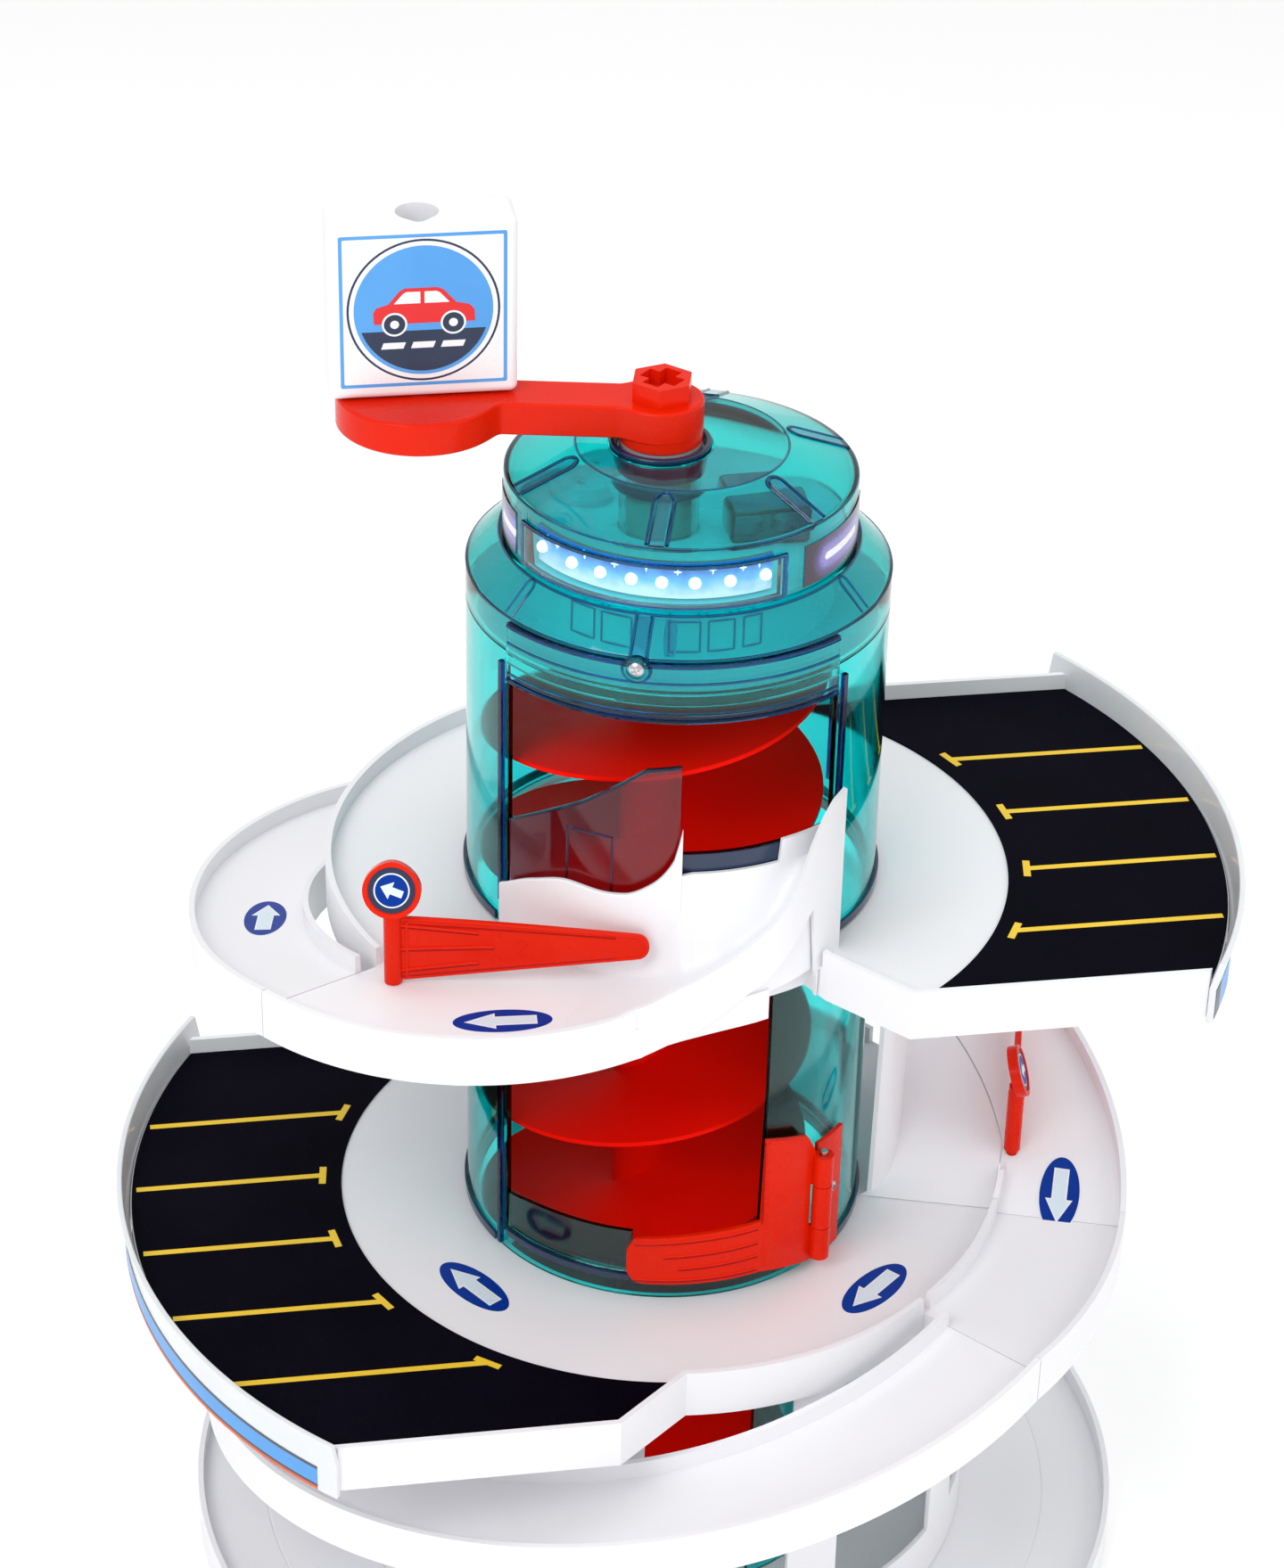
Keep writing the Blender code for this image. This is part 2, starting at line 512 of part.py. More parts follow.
for angle in angles:
    slant = front_slant(angle)
    r_wall = front_radius(angle) - ((WALL + 0.55) * slant + 0.15 if angle < -105.4 else 0.0)
    r_face = r_wall - 2.0 * slant
    z_floor = Z_DECK_2 + lerp_table(SLIDE_FLOOR, angle)
    z_top = Z_DECK_2 + lerp_table(SLIDE_WALL, angle)
    z_low = Z_DECK_2 + (lerp_table(SLIDE_FOOT, angle) if -104.8 < angle < -62.0 else GAP)
    z_under = max(z_floor - FLOOR, Z_DECK_2 + GAP + 0.05)
    if angle > -96.9:
        r_in, z_in = 86.0, Z_DECK_2 + (49.5 if angle < -70.7 else 59.6)
        fillet = min(0.9 * (Z_DECK_2 + 49.5 - z_floor), r_face - r_in - 3.0, 14.0)
    else:
        r_in, z_in, fillet = 90.4, z_floor + 0.5, 0.4
    r_foot = r_in + 1.6
    rows = [(r_in, z_under), (r_in, z_in), (r_foot, z_in), (r_foot, z_floor + fillet), (r_foot + 0.293 * fillet, z_floor + 0.293 * fillet),
            (r_foot + fillet, z_floor), (r_face, z_floor), (r_face, z_top), (r_wall, z_top), (r_wall, z_low), (r_face, z_low), (r_face, z_under)]
    loops.append([(*polar(r, angle), h) for r, h in rows])
place("exit_slide", sweep(bmesh.new(), loops), plastic("exit_slide_white", WHITE, 0.3))

# ---------------------------------------------------------------- cap
place("cap_shoulder", turned(bmesh.new(), [
    (82.4, Z_RING + GAP), (85.0, Z_RING + GAP), (85.0, 484.4), (71.0, 496.9), (68.0, 496.9), (82.4, 483.0)]),
    plastic("cap_shoulder_teal", TEAL, 0.05, alpha=0.45))

SCREW_ANGLE, SCREW_Z = -110.0, 482.0
visor = place("visor", turned(bmesh.new(), [(85.4, 458.3), (87.7, 458.3), (87.7, 484.2), (85.4, 484.2)],
                              steps=20, start=-149.0, end=-54.0), plastic("visor_teal", TEAL, 0.05, alpha=0.5))
join(visor, helper("visor_boss", rod(bmesh.new(), (*polar(86.3, SCREW_ANGLE), SCREW_Z), (*polar(90.0, SCREW_ANGLE), SCREW_Z), 5.0)))
place("visor_screw", rod(bmesh.new(), (*polar(90.3, SCREW_ANGLE), SCREW_Z), (*polar(92.0, SCREW_ANGLE), SCREW_Z), 3.0, 16),
      plastic("visor_screw_steel", STEEL, 0.3, 1.0))

loops = []
for angle in steps_between(0.0, 360.0, 48)[:-1]:
    rim = [(70.0, 497.2), (70.0, 524.4), (42.0, 535.4)]
    under = [(41.2, 533.0), (67.6, 522.7), (67.6, 497.2)]
    hole = polar(20.7, angle, SHAFT)
    loops.append([(*polar(r, angle), z) for r, z in rim] + [(*hole, 535.4), (*hole, 533.0)]
                 + [(*polar(r, angle), z) for r, z in under])
dome = place("lamp_housing", sweep(bmesh.new(), loops, closed=True), plastic("lamp_housing_teal", TEAL, 0.05, alpha=0.45))
cut(dome, helper("lamp_window", turned(bmesh.new(), [(66.0, 500.2), (72.0, 500.2), (72.0, 516.4), (66.0, 516.4)],
                                       steps=24, start=-157.4, end=-66.6)))

loops = []
for angle in steps_between(0.0, 360.0, 48)[:-1]:
    hole = polar(13.6, angle, SHAFT)
    loops.append([(*polar(67.2, angle), 497.3), (*polar(67.2, angle), 499.5), (*hole, 499.5), (*hole, 497.3)])
place("bearing_plate", sweep(bmesh.new(), loops, closed=True), plastic("bearing_plate_teal", TEAL, 0.1, alpha=0.5))

place("collar_bush", turned(bmesh.new(), [(13.4, 499.8), (20.2, 499.8), (20.2, 537.4), (17.6, 537.4), (17.6, 536.0), (13.4, 536.0)],
                            steps=40, centre=SHAFT), plastic("collar_bush_navy", NAVY, 0.2))

LAMP_LOW, LAMP_HIGH = -158.0, -66.0
place("lens_strip", turned(bmesh.new(), [(70.3, 499.5), (71.6, 499.5), (71.6, 517.0), (70.3, 517.0)],
                           steps=20, start=LAMP_LOW, end=LAMP_HIGH), plastic("lens_strip_clear", CLEAR, 0.05, alpha=0.35))
place("led_board", turned(bmesh.new(), [(62.0, 500.5), (63.4, 500.5), (63.4, 516.0), (62.0, 516.0)],
                          steps=20, start=LAMP_LOW, end=LAMP_HIGH), plastic("led_board_tan", (0.55, 0.42, 0.28), 0.5))
led_strip = place("led_strip", turned(bmesh.new(), [(63.7, 505.0), (64.9, 505.0), (64.9, 511.0), (63.7, 511.0)],
                                      steps=20, start=LAMP_LOW + 2, end=LAMP_HIGH - 2), plastic("led_strip_white", (0.9, 0.97, 1.0), 0.2))
bulbs = bmesh.new()
for k in range(8):
    angle = LAMP_LOW + 9.5 + k * (LAMP_HIGH - LAMP_LOW - 19.0) / 7
    rod(bulbs, (*polar(64.5, angle), 508.0), (*polar(66.9, angle), 508.0), 2.4, 12)
join(led_strip, helper("led_bulbs", bulbs))

BOX_AT = (32.0, -12.0)
tray_box = place("electronics_tray", block(bmesh.new(), (*BOX_AT, 506.4), (32.0, 24.0, 13.2)), plastic("electronics_tray_grey", GREY, 0.4))
cut(tray_box, helper("electronics_hollow", block(bmesh.new(), (*BOX_AT, 510.0), (29.0, 21.0, 17.0))))
place("electronics_lid", block(bmesh.new(), (*BOX_AT, 514.1), (32.0, 24.0, 1.6)), plastic("electronics_lid_grey", GREY, 0.4))
for number, dx in ((1, -7.2), (2, 7.2)):
    place(f"button_cell_{number}", rod(bmesh.new(), (BOX_AT[0] + dx, BOX_AT[1], 501.9), (BOX_AT[0] + dx, BOX_AT[1], 507.3), 5.8),
          plastic(f"button_cell_{number}_steel", STEEL, 0.25, 1.0))
place("speaker", turned(bmesh.new(), [(2.0, 499.8), (13.0, 499.8), (13.0, 502.2), (10.0, 506.0), (4.0, 506.0), (2.0, 504.6)],
                        steps=28, centre=(-34.0, 32.0)), plastic("speaker_black", (0.03, 0.03, 0.03), 0.5))

# ---------------------------------------------------------------- spiral lift and crank
spin = (SHAFT[0], SHAFT[1], 0.0)

# The lift is made of four lengths, stacked on each other. They meet at the
# back, where the next length's blade starts 0.3 mm from the last one's end and
# joins its own column a little further on.
JOINTS = (450.0, 1170.0, 1890.0)
first = (Z_BASE + 4.0 - SPIRAL_ZERO) / PITCH * 360.0
last = (469.0 - SPIRAL_ZERO) / PITCH * 360.0
for number, (start, end) in enumerate(zip((first, *JOINTS), (*JOINTS, last))):
    low, high = (SPIRAL_ZERO + PITCH * a / 360.0 for a in (start, end))
    foot = Z_BASE + 0.8 if number == 0 else low + GAP / 2
    if number == 3:
        column = [(R_BORE, foot), (R_COLUMN, foot), (R_COLUMN, 489.0), (0.0, 489.0), (0.0, 484.0), (R_BORE, 484.0)]
    else:
        column = [(R_BORE, foot), (R_COLUMN, foot), (R_COLUMN, high - GAP / 2), (R_BORE, high - GAP / 2)]
    spiral = place(f"spiral_lift_{number + 1}", turned(bmesh.new(), column, steps=20, centre=SHAFT),
                   plastic(f"spiral_lift_{number + 1}_red", RED, 0.2), spin)
    angles = [(start, 11.8)] if number == 0 else [(start + 1.5, R_COLUMN + GAP), (start + 13.6, R_COLUMN + GAP), (start + 13.9, 11.8)]
    begin, stop = angles[-1][0], end if number == 3 else end - 1.5
    angles += [(a, 11.8) for a in steps_between(begin, stop, round((stop - begin) / 18.0))[1:]]
    loops = []
    for angle, inner in angles:
        z = SPIRAL_ZERO + PITCH * angle / 360.0
        loops.append([(*polar(inner, angle, SHAFT), z - T_BLADE), (*polar(R_SPIRAL, angle, SHAFT), z - T_BLADE),
                      (*polar(R_SPIRAL, angle, SHAFT), z), (*polar(inner, angle, SHAFT), z)])
    join(spiral, helper(f"spiral_blade_{number + 1}", sweep(bmesh.new(), loops)))

place("crank_shaft", turned(bmesh.new(), [
    (0.0, 489.3), (12.8, 489.3), (12.8, 537.5), (8.6, 537.5), (8.6, 548.5), (0.0, 548.5)], steps=28, centre=SHAFT),
    plastic("crank_shaft_red", RED, 0.3), spin)

ARM_LOW, ARM_TOP = 541.9, 555.4
R_HUB, R_END, HALF_ARM = 16.7, 32.6, 11.0
length = math.hypot(CRANK_END[0] - SHAFT[0], CRANK_END[1] - SHAFT[1])
along = Vector(((SHAFT[0] - CRANK_END[0]) / length, (SHAFT[1] - CRANK_END[1]) / length))
across = Vector((-along.y, along.x))


def arm_half(s):
    """Half width of the arm, s from the grip's pin towards the hub."""
    parts = [HALF_ARM, math.sqrt(max(0.0, R_END ** 2 - s * s)), math.sqrt(max(0.0, R_HUB ** 2 - (s - length) ** 2))]
    return 2.6 * math.log(sum(math.exp(w / 2.6) for w in parts))


side = [(R_END * math.cos(math.radians(a)), R_END * math.sin(math.radians(a))) for a in range(180, 90, -10)]
side += [(s, arm_half(s)) for s in steps_between(0.0, length, 30)]
side += [(length + R_HUB * math.cos(math.radians(a)), R_HUB * math.sin(math.radians(a))) for a in range(80, 0, -10)]
side += [(length + R_HUB, 0.0)]
outline = side + [(s, -w) for s, w in side[-2:0:-1]]
outline = [(CRANK_END[0] + along.x * s + across.x * w, CRANK_END[1] + along.y * s + across.y * w) for s, w in outline]
crank = place("crank_arm", prism(bmesh.new(), outline, ARM_LOW, ARM_TOP), plastic("crank_arm_red", RED, 0.2), spin)
join(crank, helper("crank_hub", rod(bmesh.new(), (*SHAFT, 538.0), (*SHAFT, 550.0), R_HUB - 0.25, 32)))
join(crank, helper("crank_hex", prism(bmesh.new(), circle(12.7, 6, SHAFT, 16.0), 553.0, 563.4)))
for number in (0, 1):
    cut(crank, helper(f"crank_key_{number}", block(bmesh.new(), (*SHAFT, 561.5), (16.5 - 0.2 * number, 7.4, 8.0), 46.0 + 90.0 * number)))
cut(crank, helper("crank_socket", rod(bmesh.new(), (*SHAFT, 530.0), (*SHAFT, 548.9), 8.9, 28)))
cut(crank, helper("crank_pin_hole", rod(bmesh.new(), (*CRANK_END, 530.0), (*CRANK_END, 560.0), 5.0, 20)))

place("grip_pin", turned(bmesh.new(), [
    (0.0, 542.4), (4.7, 542.4), (4.7, 555.7), (6.0, 555.7), (6.0, 606.9), (7.6, 606.9), (7.6, 608.8), (6.8, 609.8), (0.0, 609.8)],
    steps=24, centre=CRANK_END), plastic("grip_pin_white", WHITE, 0.3), (*CRANK_END, 0.0))

GRIP = (73.0, 23.0, 73.5)
GRIP_LOW = 556.2
bm = bmesh.new()
block(bm, (CRANK_END[0] + 1.2, CRANK_END[1] + 2.0, GRIP_LOW + GRIP[2] / 2), GRIP)
bmesh.ops.recalc_face_normals(bm, faces=bm.faces)
bmesh.ops.bevel(bm, geom=list(bm.edges), offset=3.0, segments=3, profile=0.5, affect="EDGES")
grip = place("sign_grip", bm, plastic("sign_grip_white", WHITE, 0.25), (*CRANK_END, 0.0))
cut(grip, helper("grip_bore", turned(bmesh.new(), [
    (0.0, 540.0), (6.3, 540.0), (6.3, 606.5), (8.4, 606.5), (8.4, 640.0), (0.0, 640.0)], steps=28, centre=CRANK_END)))


# ---------------------------------------------------------------- lane gates
def lane_gate(name, axis, heading, z, tip_low, tip_high, reach=101.2, foot=0.4):
    """A gate on an upright post, with a round sign above the post."""
    look = plastic(name + "_red", RED, 0.2)
    made = place(name, turned(bmesh.new(), [(0.0, z - 4.0), (2.2, z - 4.0), (2.2, z + foot), (3.6, z + foot), (3.6, z + 33.0), (0.0, z + 33.0)],
                              steps=16, centre=axis), look, (*axis, 0.0))
    c, s = math.cos(math.radians(heading)), math.sin(math.radians(heading))
    loops = []
    for t in steps_between(1.0, reach, 10):
        low = z + 1.0 + (tip_low - 1.0) * t / reach
        high = z + 31.0 + (tip_high - 31.0) * (t / reach) ** 1.4
        half = 1.3
        loops.append([(axis[0] + c * t - s * w, axis[1] + s * t + c * w, h)
                      for w, h in ((-half, low), (half, low), (half, high), (-half, high))])
    join(made, helper(name + "_arm", sweep(bmesh.new(), loops)))
    face = Vector((s, -c, 0.0)) * math.cos(math.radians(18)) + Vector((0, 0, 1)) * math.sin(math.radians(18))
    at = Vector((axis[0], axis[1], z + 43.5))
    join(made, helper(name + "_disc", rod(bmesh.new(), at - face * 2.4, at + face * 2.4, 11.6, 28)))
    return made


lane_gate("lane_gate_2", GATE_2_AXIS, -10.0, Z_DECK_2, 14.6, 25.0)
lane_gate("lane_gate_1", GATE_1_AXIS, 75.0, Z_DECK_1 + 9.2, 29.5, 37.5, reach=99.5, foot=1.7)

# ---------------------------------------------------------------- exit gate on the lower deck
HINGE = polar(R_EXIT_HINGE, EXIT_GATE_ANGLE)
hinge_at = (*HINGE, 0.0)


def gate_low(angle):
    return Z_DECK_1 + lerp_table([(-72.2, 11.0), (-56.0, 6.0)], angle)


def gate_top(angle):
    return Z_DECK_1 + lerp_table([(-109.0, 34.0), (-90.0, 36.5), (-72.2, 37.5), (-71.6, 79.0), (-58.0, 73.0), (-54.4, 62.0)], angle)


loops = []
for angle in steps_between(-109.0, -72.2, 10) + steps_between(-71.6, -54.4, 5):
    loops.append([(*polar(87.6, angle), gate_low(angle)), (*polar(89.9, angle), gate_low(angle)),
                  (*polar(89.9, angle), gate_top(angle)), (*polar(87.6, angle), gate_top(angle))])
exit_gate = place("exit_gate", sweep(bmesh.new(), loops), plastic("exit_gate_red", RED, 0.2), hinge_at)
knuckles = bmesh.new()
rod(knuckles, (*HINGE, Z_DECK_1 + 8), (*HINGE, Z_DECK_1 + 24), 4.2, 20)
rod(knuckles, (*HINGE, Z_DECK_1 + 46), (*HINGE, Z_DECK_1 + 61), 4.2, 20)
join(exit_gate, helper("exit_gate_knuckles", knuckles))
cut(exit_gate, helper("exit_gate_middle", rod(bmesh.new(), (*HINGE, Z_DECK_1 + 24.0), (*HINGE, Z_DECK_1 + 46.0), 5.2, 20)))
cut(exit_gate, helper("exit_gate_bore", rod(bmesh.new(), (*HINGE, Z_DECK_1 - 5), (*HINGE, Z_DECK_1 + 90), 1.9, 16)))

bracket = place("exit_gate_bracket", turned(bmesh.new(), [
    (85.4, Z_DECK_1 + 2), (87.2, Z_DECK_1 + 2), (87.2, Z_DECK_1 + 63), (85.4, Z_DECK_1 + 63)],
    steps=4, start=-52.0, end=-40.0), plastic("exit_gate_bracket_red", RED, 0.2))
web = bmesh.new()
block(web, (*polar(89.2, -51.0), Z_DECK_1 + 35), (6.4, 3.4, 21.0), -51.0)
join(bracket, helper("exit_bracket_web", web))
join(bracket, helper("exit_bracket_knuckle", rod(bmesh.new(), (*HINGE, Z_DECK_1 + 24.4), (*HINGE, Z_DECK_1 + 45.6), 4.2, 20)))
cut(bracket, helper("exit_bracket_bore", rod(bmesh.new(), (*HINGE, Z_DECK_1 - 5), (*HINGE, Z_DECK_1 + 90), 1.9, 16)))
place("exit_gate_pin", rod(bmesh.new(), (*HINGE, Z_DECK_1 + 6.5), (*HINGE, Z_DECK_1 + 63), 1.6, 16),
      plastic("exit_gate_pin_steel", STEEL, 0.3, 1.0))
place("bracket_screw", rod(bmesh.new(), (*polar(87.5, -45.0), Z_DECK_1 + 35), (*polar(89.2, -45.0), Z_DECK_1 + 35), 2.6, 16),
      plastic("bracket_screw_steel", STEEL, 0.3, 1.0))
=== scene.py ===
"""Looks of the toy parking garage: fine surfaces, printed sheets, clear tower,
lamps, light and camera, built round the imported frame.

Lengths are in millimetres in the row frame and become metres in each mesh.
"""

import math

import bmesh
import bpy
import numpy as np
from mathutils import Matrix, Vector


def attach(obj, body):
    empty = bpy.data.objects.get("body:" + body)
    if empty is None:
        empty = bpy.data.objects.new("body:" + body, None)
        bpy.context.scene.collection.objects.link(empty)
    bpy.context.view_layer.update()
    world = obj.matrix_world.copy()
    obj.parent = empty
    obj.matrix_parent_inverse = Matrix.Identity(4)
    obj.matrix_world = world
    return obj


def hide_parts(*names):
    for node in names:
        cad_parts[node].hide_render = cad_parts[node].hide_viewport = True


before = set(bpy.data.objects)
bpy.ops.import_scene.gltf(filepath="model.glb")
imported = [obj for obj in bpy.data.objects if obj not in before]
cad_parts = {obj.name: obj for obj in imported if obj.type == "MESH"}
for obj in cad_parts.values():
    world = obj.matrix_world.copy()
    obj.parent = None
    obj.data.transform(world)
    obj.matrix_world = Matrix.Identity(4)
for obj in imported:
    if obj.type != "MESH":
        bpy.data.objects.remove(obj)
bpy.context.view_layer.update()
MM = 0.001

# ------------------------------------------------------------------ sizes
Z_BASE, Z1, Z2, Z_RING = 12.0, 176.4, 340.8, 469.4
GAP = 0.3
R_TUBE, T_TUBE, R_HOLE = 85.0, 2.4, 80.5
R_LANE, R_PARK, R_RIN, R_ROUT = 143.5, 231.5, 151.0, 202.5
RIM_UP, RIM_DOWN, FLOOR, WALL = 8.0, 14.0, 2.5, 2.5
SHAFT = (-8.6, 0.0)
R_SPIRAL, R_COLUMN, R_BORE, PITCH, T_BLADE, SPIRAL_ZERO = 70.5, 13.0, 10.5, 59.2, 2.0, 27.6
CRANK_END = (-101.5, 17.5)
GATE_2, GATE_1 = (-123.7, -74.4), (153.5, -14.5)
LOBE, R_LOBE = (-82.3, -8.0), 122.3
SEAM_1, LAND_1, SEAM_2 = -49.0, -18.0, 206.0
BACK, FRONT_1, FRONT_2 = 120.5, -169.5, -120.5


# ------------------------------------------------------------------ tools
def polar(r, a, c=(0.0, 0.0)):
    t = math.radians(a)
    return (c[0] + r * math.cos(t), c[1] + r * math.sin(t))


def span(a, b, n):
    return [a + (b - a) * i / n for i in range(n + 1)]


def table(rows, x):
    if x <= rows[0][0]:
        return rows[0][1]
    for (x0, v0), (x1, v1) in zip(rows, rows[1:]):
        if x <= x1:
            return v0 + (v1 - v0) * (x - x0) / (x1 - x0)
    return rows[-1][1]


def smooth_table(rows, x):
    """Monotone cubic reading of a table, without the corners of straight lines."""
    if x <= rows[0][0]:
        return rows[0][1]
    if x >= rows[-1][0]:
        return rows[-1][1]
    d = [(b[1] - a[1]) / (b[0] - a[0]) for a, b in zip(rows, rows[1:])]
    m = [d[0]] + [0.0 if p * q <= 0 else 2 * p * q / (p + q) for p, q in zip(d, d[1:])] + [d[-1]]
    for i, ((x0, v0), (x1, v1)) in enumerate(zip(rows, rows[1:])):
        if x <= x1:
            h = x1 - x0
            t = (x - x0) / h
            return ((2 * t ** 3 - 3 * t ** 2 + 1) * v0 + (t ** 3 - 2 * t ** 2 + t) * h * m[i]
                    + (-2 * t ** 3 + 3 * t ** 2) * v1 + (t ** 3 - t ** 2) * h * m[i + 1])


def sweep(bm, stations, closed=False):
    rings = [[bm.verts.new(Vector(p)) for p in loop] for loop in stations]
    n = len(rings[0])
    pairs = list(zip(rings, rings[1:])) + ([(rings[-1], rings[0])] if closed else [])
    for first, second in pairs:
        for i in range(n):
            j = (i + 1) % n
            bm.faces.new((first[i], first[j], second[j], second[i]))
    if not closed:
        bm.faces.new(list(reversed(rings[0])))
        bm.faces.new(rings[-1])
    return bm


def turned(bm, profile, steps=128, centre=(0.0, 0.0), start=0.0, end=360.0):
    full = abs(end - start) >= 359.999
    angles = span(start, end, steps)
    if full:
        angles = angles[:-1]
    sweep(bm, [[(*polar(r, a, centre), z) for r, z in profile] for a in angles], closed=full)
    if min(r for r, z in profile) == 0.0:
        bmesh.ops.remove_doubles(bm, verts=bm.verts, dist=0.0001)
    return bm


def prism(bm, outline, low, high):
    return sweep(bm, [[(x, y, low) for x, y in outline], [(x, y, high) for x, y in outline]])


def rod(bm, a, b, r, sides=32, r2=None):
    a, b = Vector(a), Vector(b)
    along = (b - a).normalized()
    side = along.orthogonal().normalized()
    other = along.cross(side)
    loops = []
    for at, rad in ((a, r), (b, r if r2 is None else r2)):
        loops.append([at + side * rad * math.cos(2 * math.pi * k / sides)
                      + other * rad * math.sin(2 * math.pi * k / sides) for k in range(sides)])
    return sweep(bm, loops)


def block(bm, centre, size, turn=0.0):
    cx, cy, cz = centre
    hx, hy, hz = (s / 2 for s in size)
    c, s = math.cos(math.radians(turn)), math.sin(math.radians(turn))
    outline = [(cx + x * c - y * s, cy + x * s + y * c)
               for x, y in ((-hx, -hy), (hx, -hy), (hx, hy), (-hx, hy))]
    return prism(bm, outline, cz - hz, cz + hz)


def panel(bm, start, end, r0, r1, bottom, top, step=1.5):
    """A curved sheet about the tower's axis; its edges are functions of angle."""
    loops = []
    for a in span(start, end, max(2, round(abs(end - start) / step))):
        loops.append([(*polar(r0, a), bottom(a)), (*polar(r1, a), bottom(a)),
                      (*polar(r1, a), top(a)), (*polar(r0, a), top(a))])
    return sweep(bm, loops)


def band(bm, start, end, r0, r1, z0, z1, step=1.5):
    return panel(bm, start, end, r0, r1, lambda a: z0, lambda a: z1, step)


def pipe(bm, points, radius, sides=10, closed=False):
    """A round bead along a row of points, for raised edges."""
    pts = [Vector(p) for p in points]
    n = len(pts)
    loops, side = [], None
    for i, p in enumerate(pts):
        if closed:
            along = (pts[(i + 1) % n] - pts[i - 1]).normalized()
        else:
            along = (pts[min(i + 1, n - 1)] - pts[max(i - 1, 0)]).normalized()
        if side is None:
            side = along.orthogonal().normalized()
        side = (side - along * side.dot(along)).normalized()
        other = along.cross(side)
        loops.append([p + side * radius * math.cos(2 * math.pi * k / sides)
                      + other * radius * math.sin(2 * math.pi * k / sides) for k in range(sides)])
    return sweep(bm, loops, closed)


def circle(r, n, c=(0.0, 0.0), turn=0.0):
    return [polar(r, turn + 360.0 * k / n, c) for k in range(n)]


def arc(r, a0, a1, step=1.5, c=(0.0, 0.0), last=False):
    n = max(1, round(abs(a1 - a0) / step))
    pts = [polar(r, a, c) for a in span(a0, a1, n)]
    return pts if last else pts[:-1]


def inset(outline, distances):
    n = len(outline)
    moved = []
    for i in range(n):
        (x0, y0), (x1, y1) = outline[i], outline[(i + 1) % n]
        ln = math.hypot(x1 - x0, y1 - y0)
        nx, ny = -(y1 - y0) / ln, (x1 - x0) / ln
        moved.append(((x0 + nx * distances[i], y0 + ny * distances[i]), ((x1 - x0) / ln, (y1 - y0) / ln)))
    out = []
    for i in range(n):
        (p, u), (q, v) = moved[i - 1], moved[i]
        cross = u[0] * v[1] - u[1] * v[0]
        if abs(cross) < 0.02:
            x1, y1 = outline[i]
            d = (distances[i - 1] + distances[i]) / 2
            nx, ny = -(u[1] + v[1]) / 2, (u[0] + v[0]) / 2
            out.append((x1 + nx * d, y1 + ny * d))
            continue
        t = ((q[0] - p[0]) * v[1] - (q[1] - p[1]) * v[0]) / cross
        out.append((p[0] + u[0] * t, p[1] + u[1] * t))
    return out


def raw(name, bm):
    bmesh.ops.recalc_face_normals(bm, faces=bm.faces)
    for v in bm.verts:
        v.co = v.co * MM
    mesh = bpy.data.meshes.new(name)
    bm.to_mesh(mesh)
    bm.free()
    made = bpy.data.objects.new(name, mesh)
    bpy.context.scene.collection.objects.link(made)
    return made


def boolean(target, bm, operation="DIFFERENCE"):
    tool = raw("tool", bm)
    step = target.modifiers.new("b", "BOOLEAN")
    step.operation, step.solver, step.object = operation, "EXACT", tool
    bake(target)
    bpy.data.objects.remove(tool, do_unlink=True)
    return target


def bake(target):
    bpy.context.view_layer.update()
    graph = bpy.context.evaluated_depsgraph_get()
    mesh = bpy.data.meshes.new_from_object(target.evaluated_get(graph))
    old = target.data
    target.modifiers.clear()
    target.data = mesh
    bpy.data.meshes.remove(old)


def dress(target, mat, body, slot=None, replaces=(), edge=0.0, segs=2, sharp=32.0, limit=35.0):
    """Rounds the edges, smooths, paints and mounts a finished piece."""
    if edge:
        step = target.modifiers.new("edge", "BEVEL")
        step.width, step.segments, step.limit_method = edge * MM, segs, "ANGLE"
        step.angle_limit = math.radians(limit)
        step.use_clamp_overlap = True
        step.harden_normals = False
        bake(target)
    target.data.shade_smooth()
    target.data.set_sharp_from_angle(angle=math.radians(sharp))
    if edge:
        step = target.modifiers.new("even", "WEIGHTED_NORMAL")
        step.keep_sharp = True
        step.weight = 90
        bake(target)
    target.data.materials.clear()
    for m in (mat if isinstance(mat, (list, tuple)) else [mat]):
        target.data.materials.append(m)
    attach(target, body)
    if replaces:
        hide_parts(*replaces)
    return target


def piece(name, bm, mat, body="garage", **more):
    return dress(raw(name, bm), mat, body, **more)


# ------------------------------------------------------------------ materials
def start(name):
    m = bpy.data.materials.new(name)
    m.use_nodes = True
    nt = m.node_tree
    p = nt.nodes["Principled BSDF"]
    return m, nt, p


def node(nt, kind, **values):
    n = nt.nodes.new(kind)
    for k, v in values.items():
        if hasattr(n, k):
            setattr(n, k, v)
        else:
            n.inputs[k].default_value = v
    return n


def coords(nt):
    return nt.nodes.new("ShaderNodeTexCoord").outputs["Object"]


def noise(nt, at, scale, detail=3.0, rough=0.5):
    n = nt.nodes.new("ShaderNodeTexNoise")
    n.inputs["Scale"].default_value = scale
    n.inputs["Detail"].default_value = detail
    n.inputs["Roughness"].default_value = rough
    nt.links.new(at, n.inputs["Vector"])
    return n.outputs["Fac"]


def spread(nt, value, low, high, from_low=0.3, from_high=0.7):
    r = nt.nodes.new("ShaderNodeMapRange")
    r.inputs["From Min"].default_value, r.inputs["From Max"].default_value = from_low, from_high
    r.inputs["To Min"].default_value, r.inputs["To Max"].default_value = low, high
    nt.links.new(value, r.inputs["Value"])
    return r.outputs["Result"]


def blend_colour(nt, value, a, b):
    m = nt.nodes.new("ShaderNodeMix")
    m.data_type = "RGBA"
    m.inputs["A"].default_value = (*a, 1.0)
    m.inputs["B"].default_value = (*b, 1.0)
    nt.links.new(value, m.inputs["Factor"])
    return m.outputs["Result"]


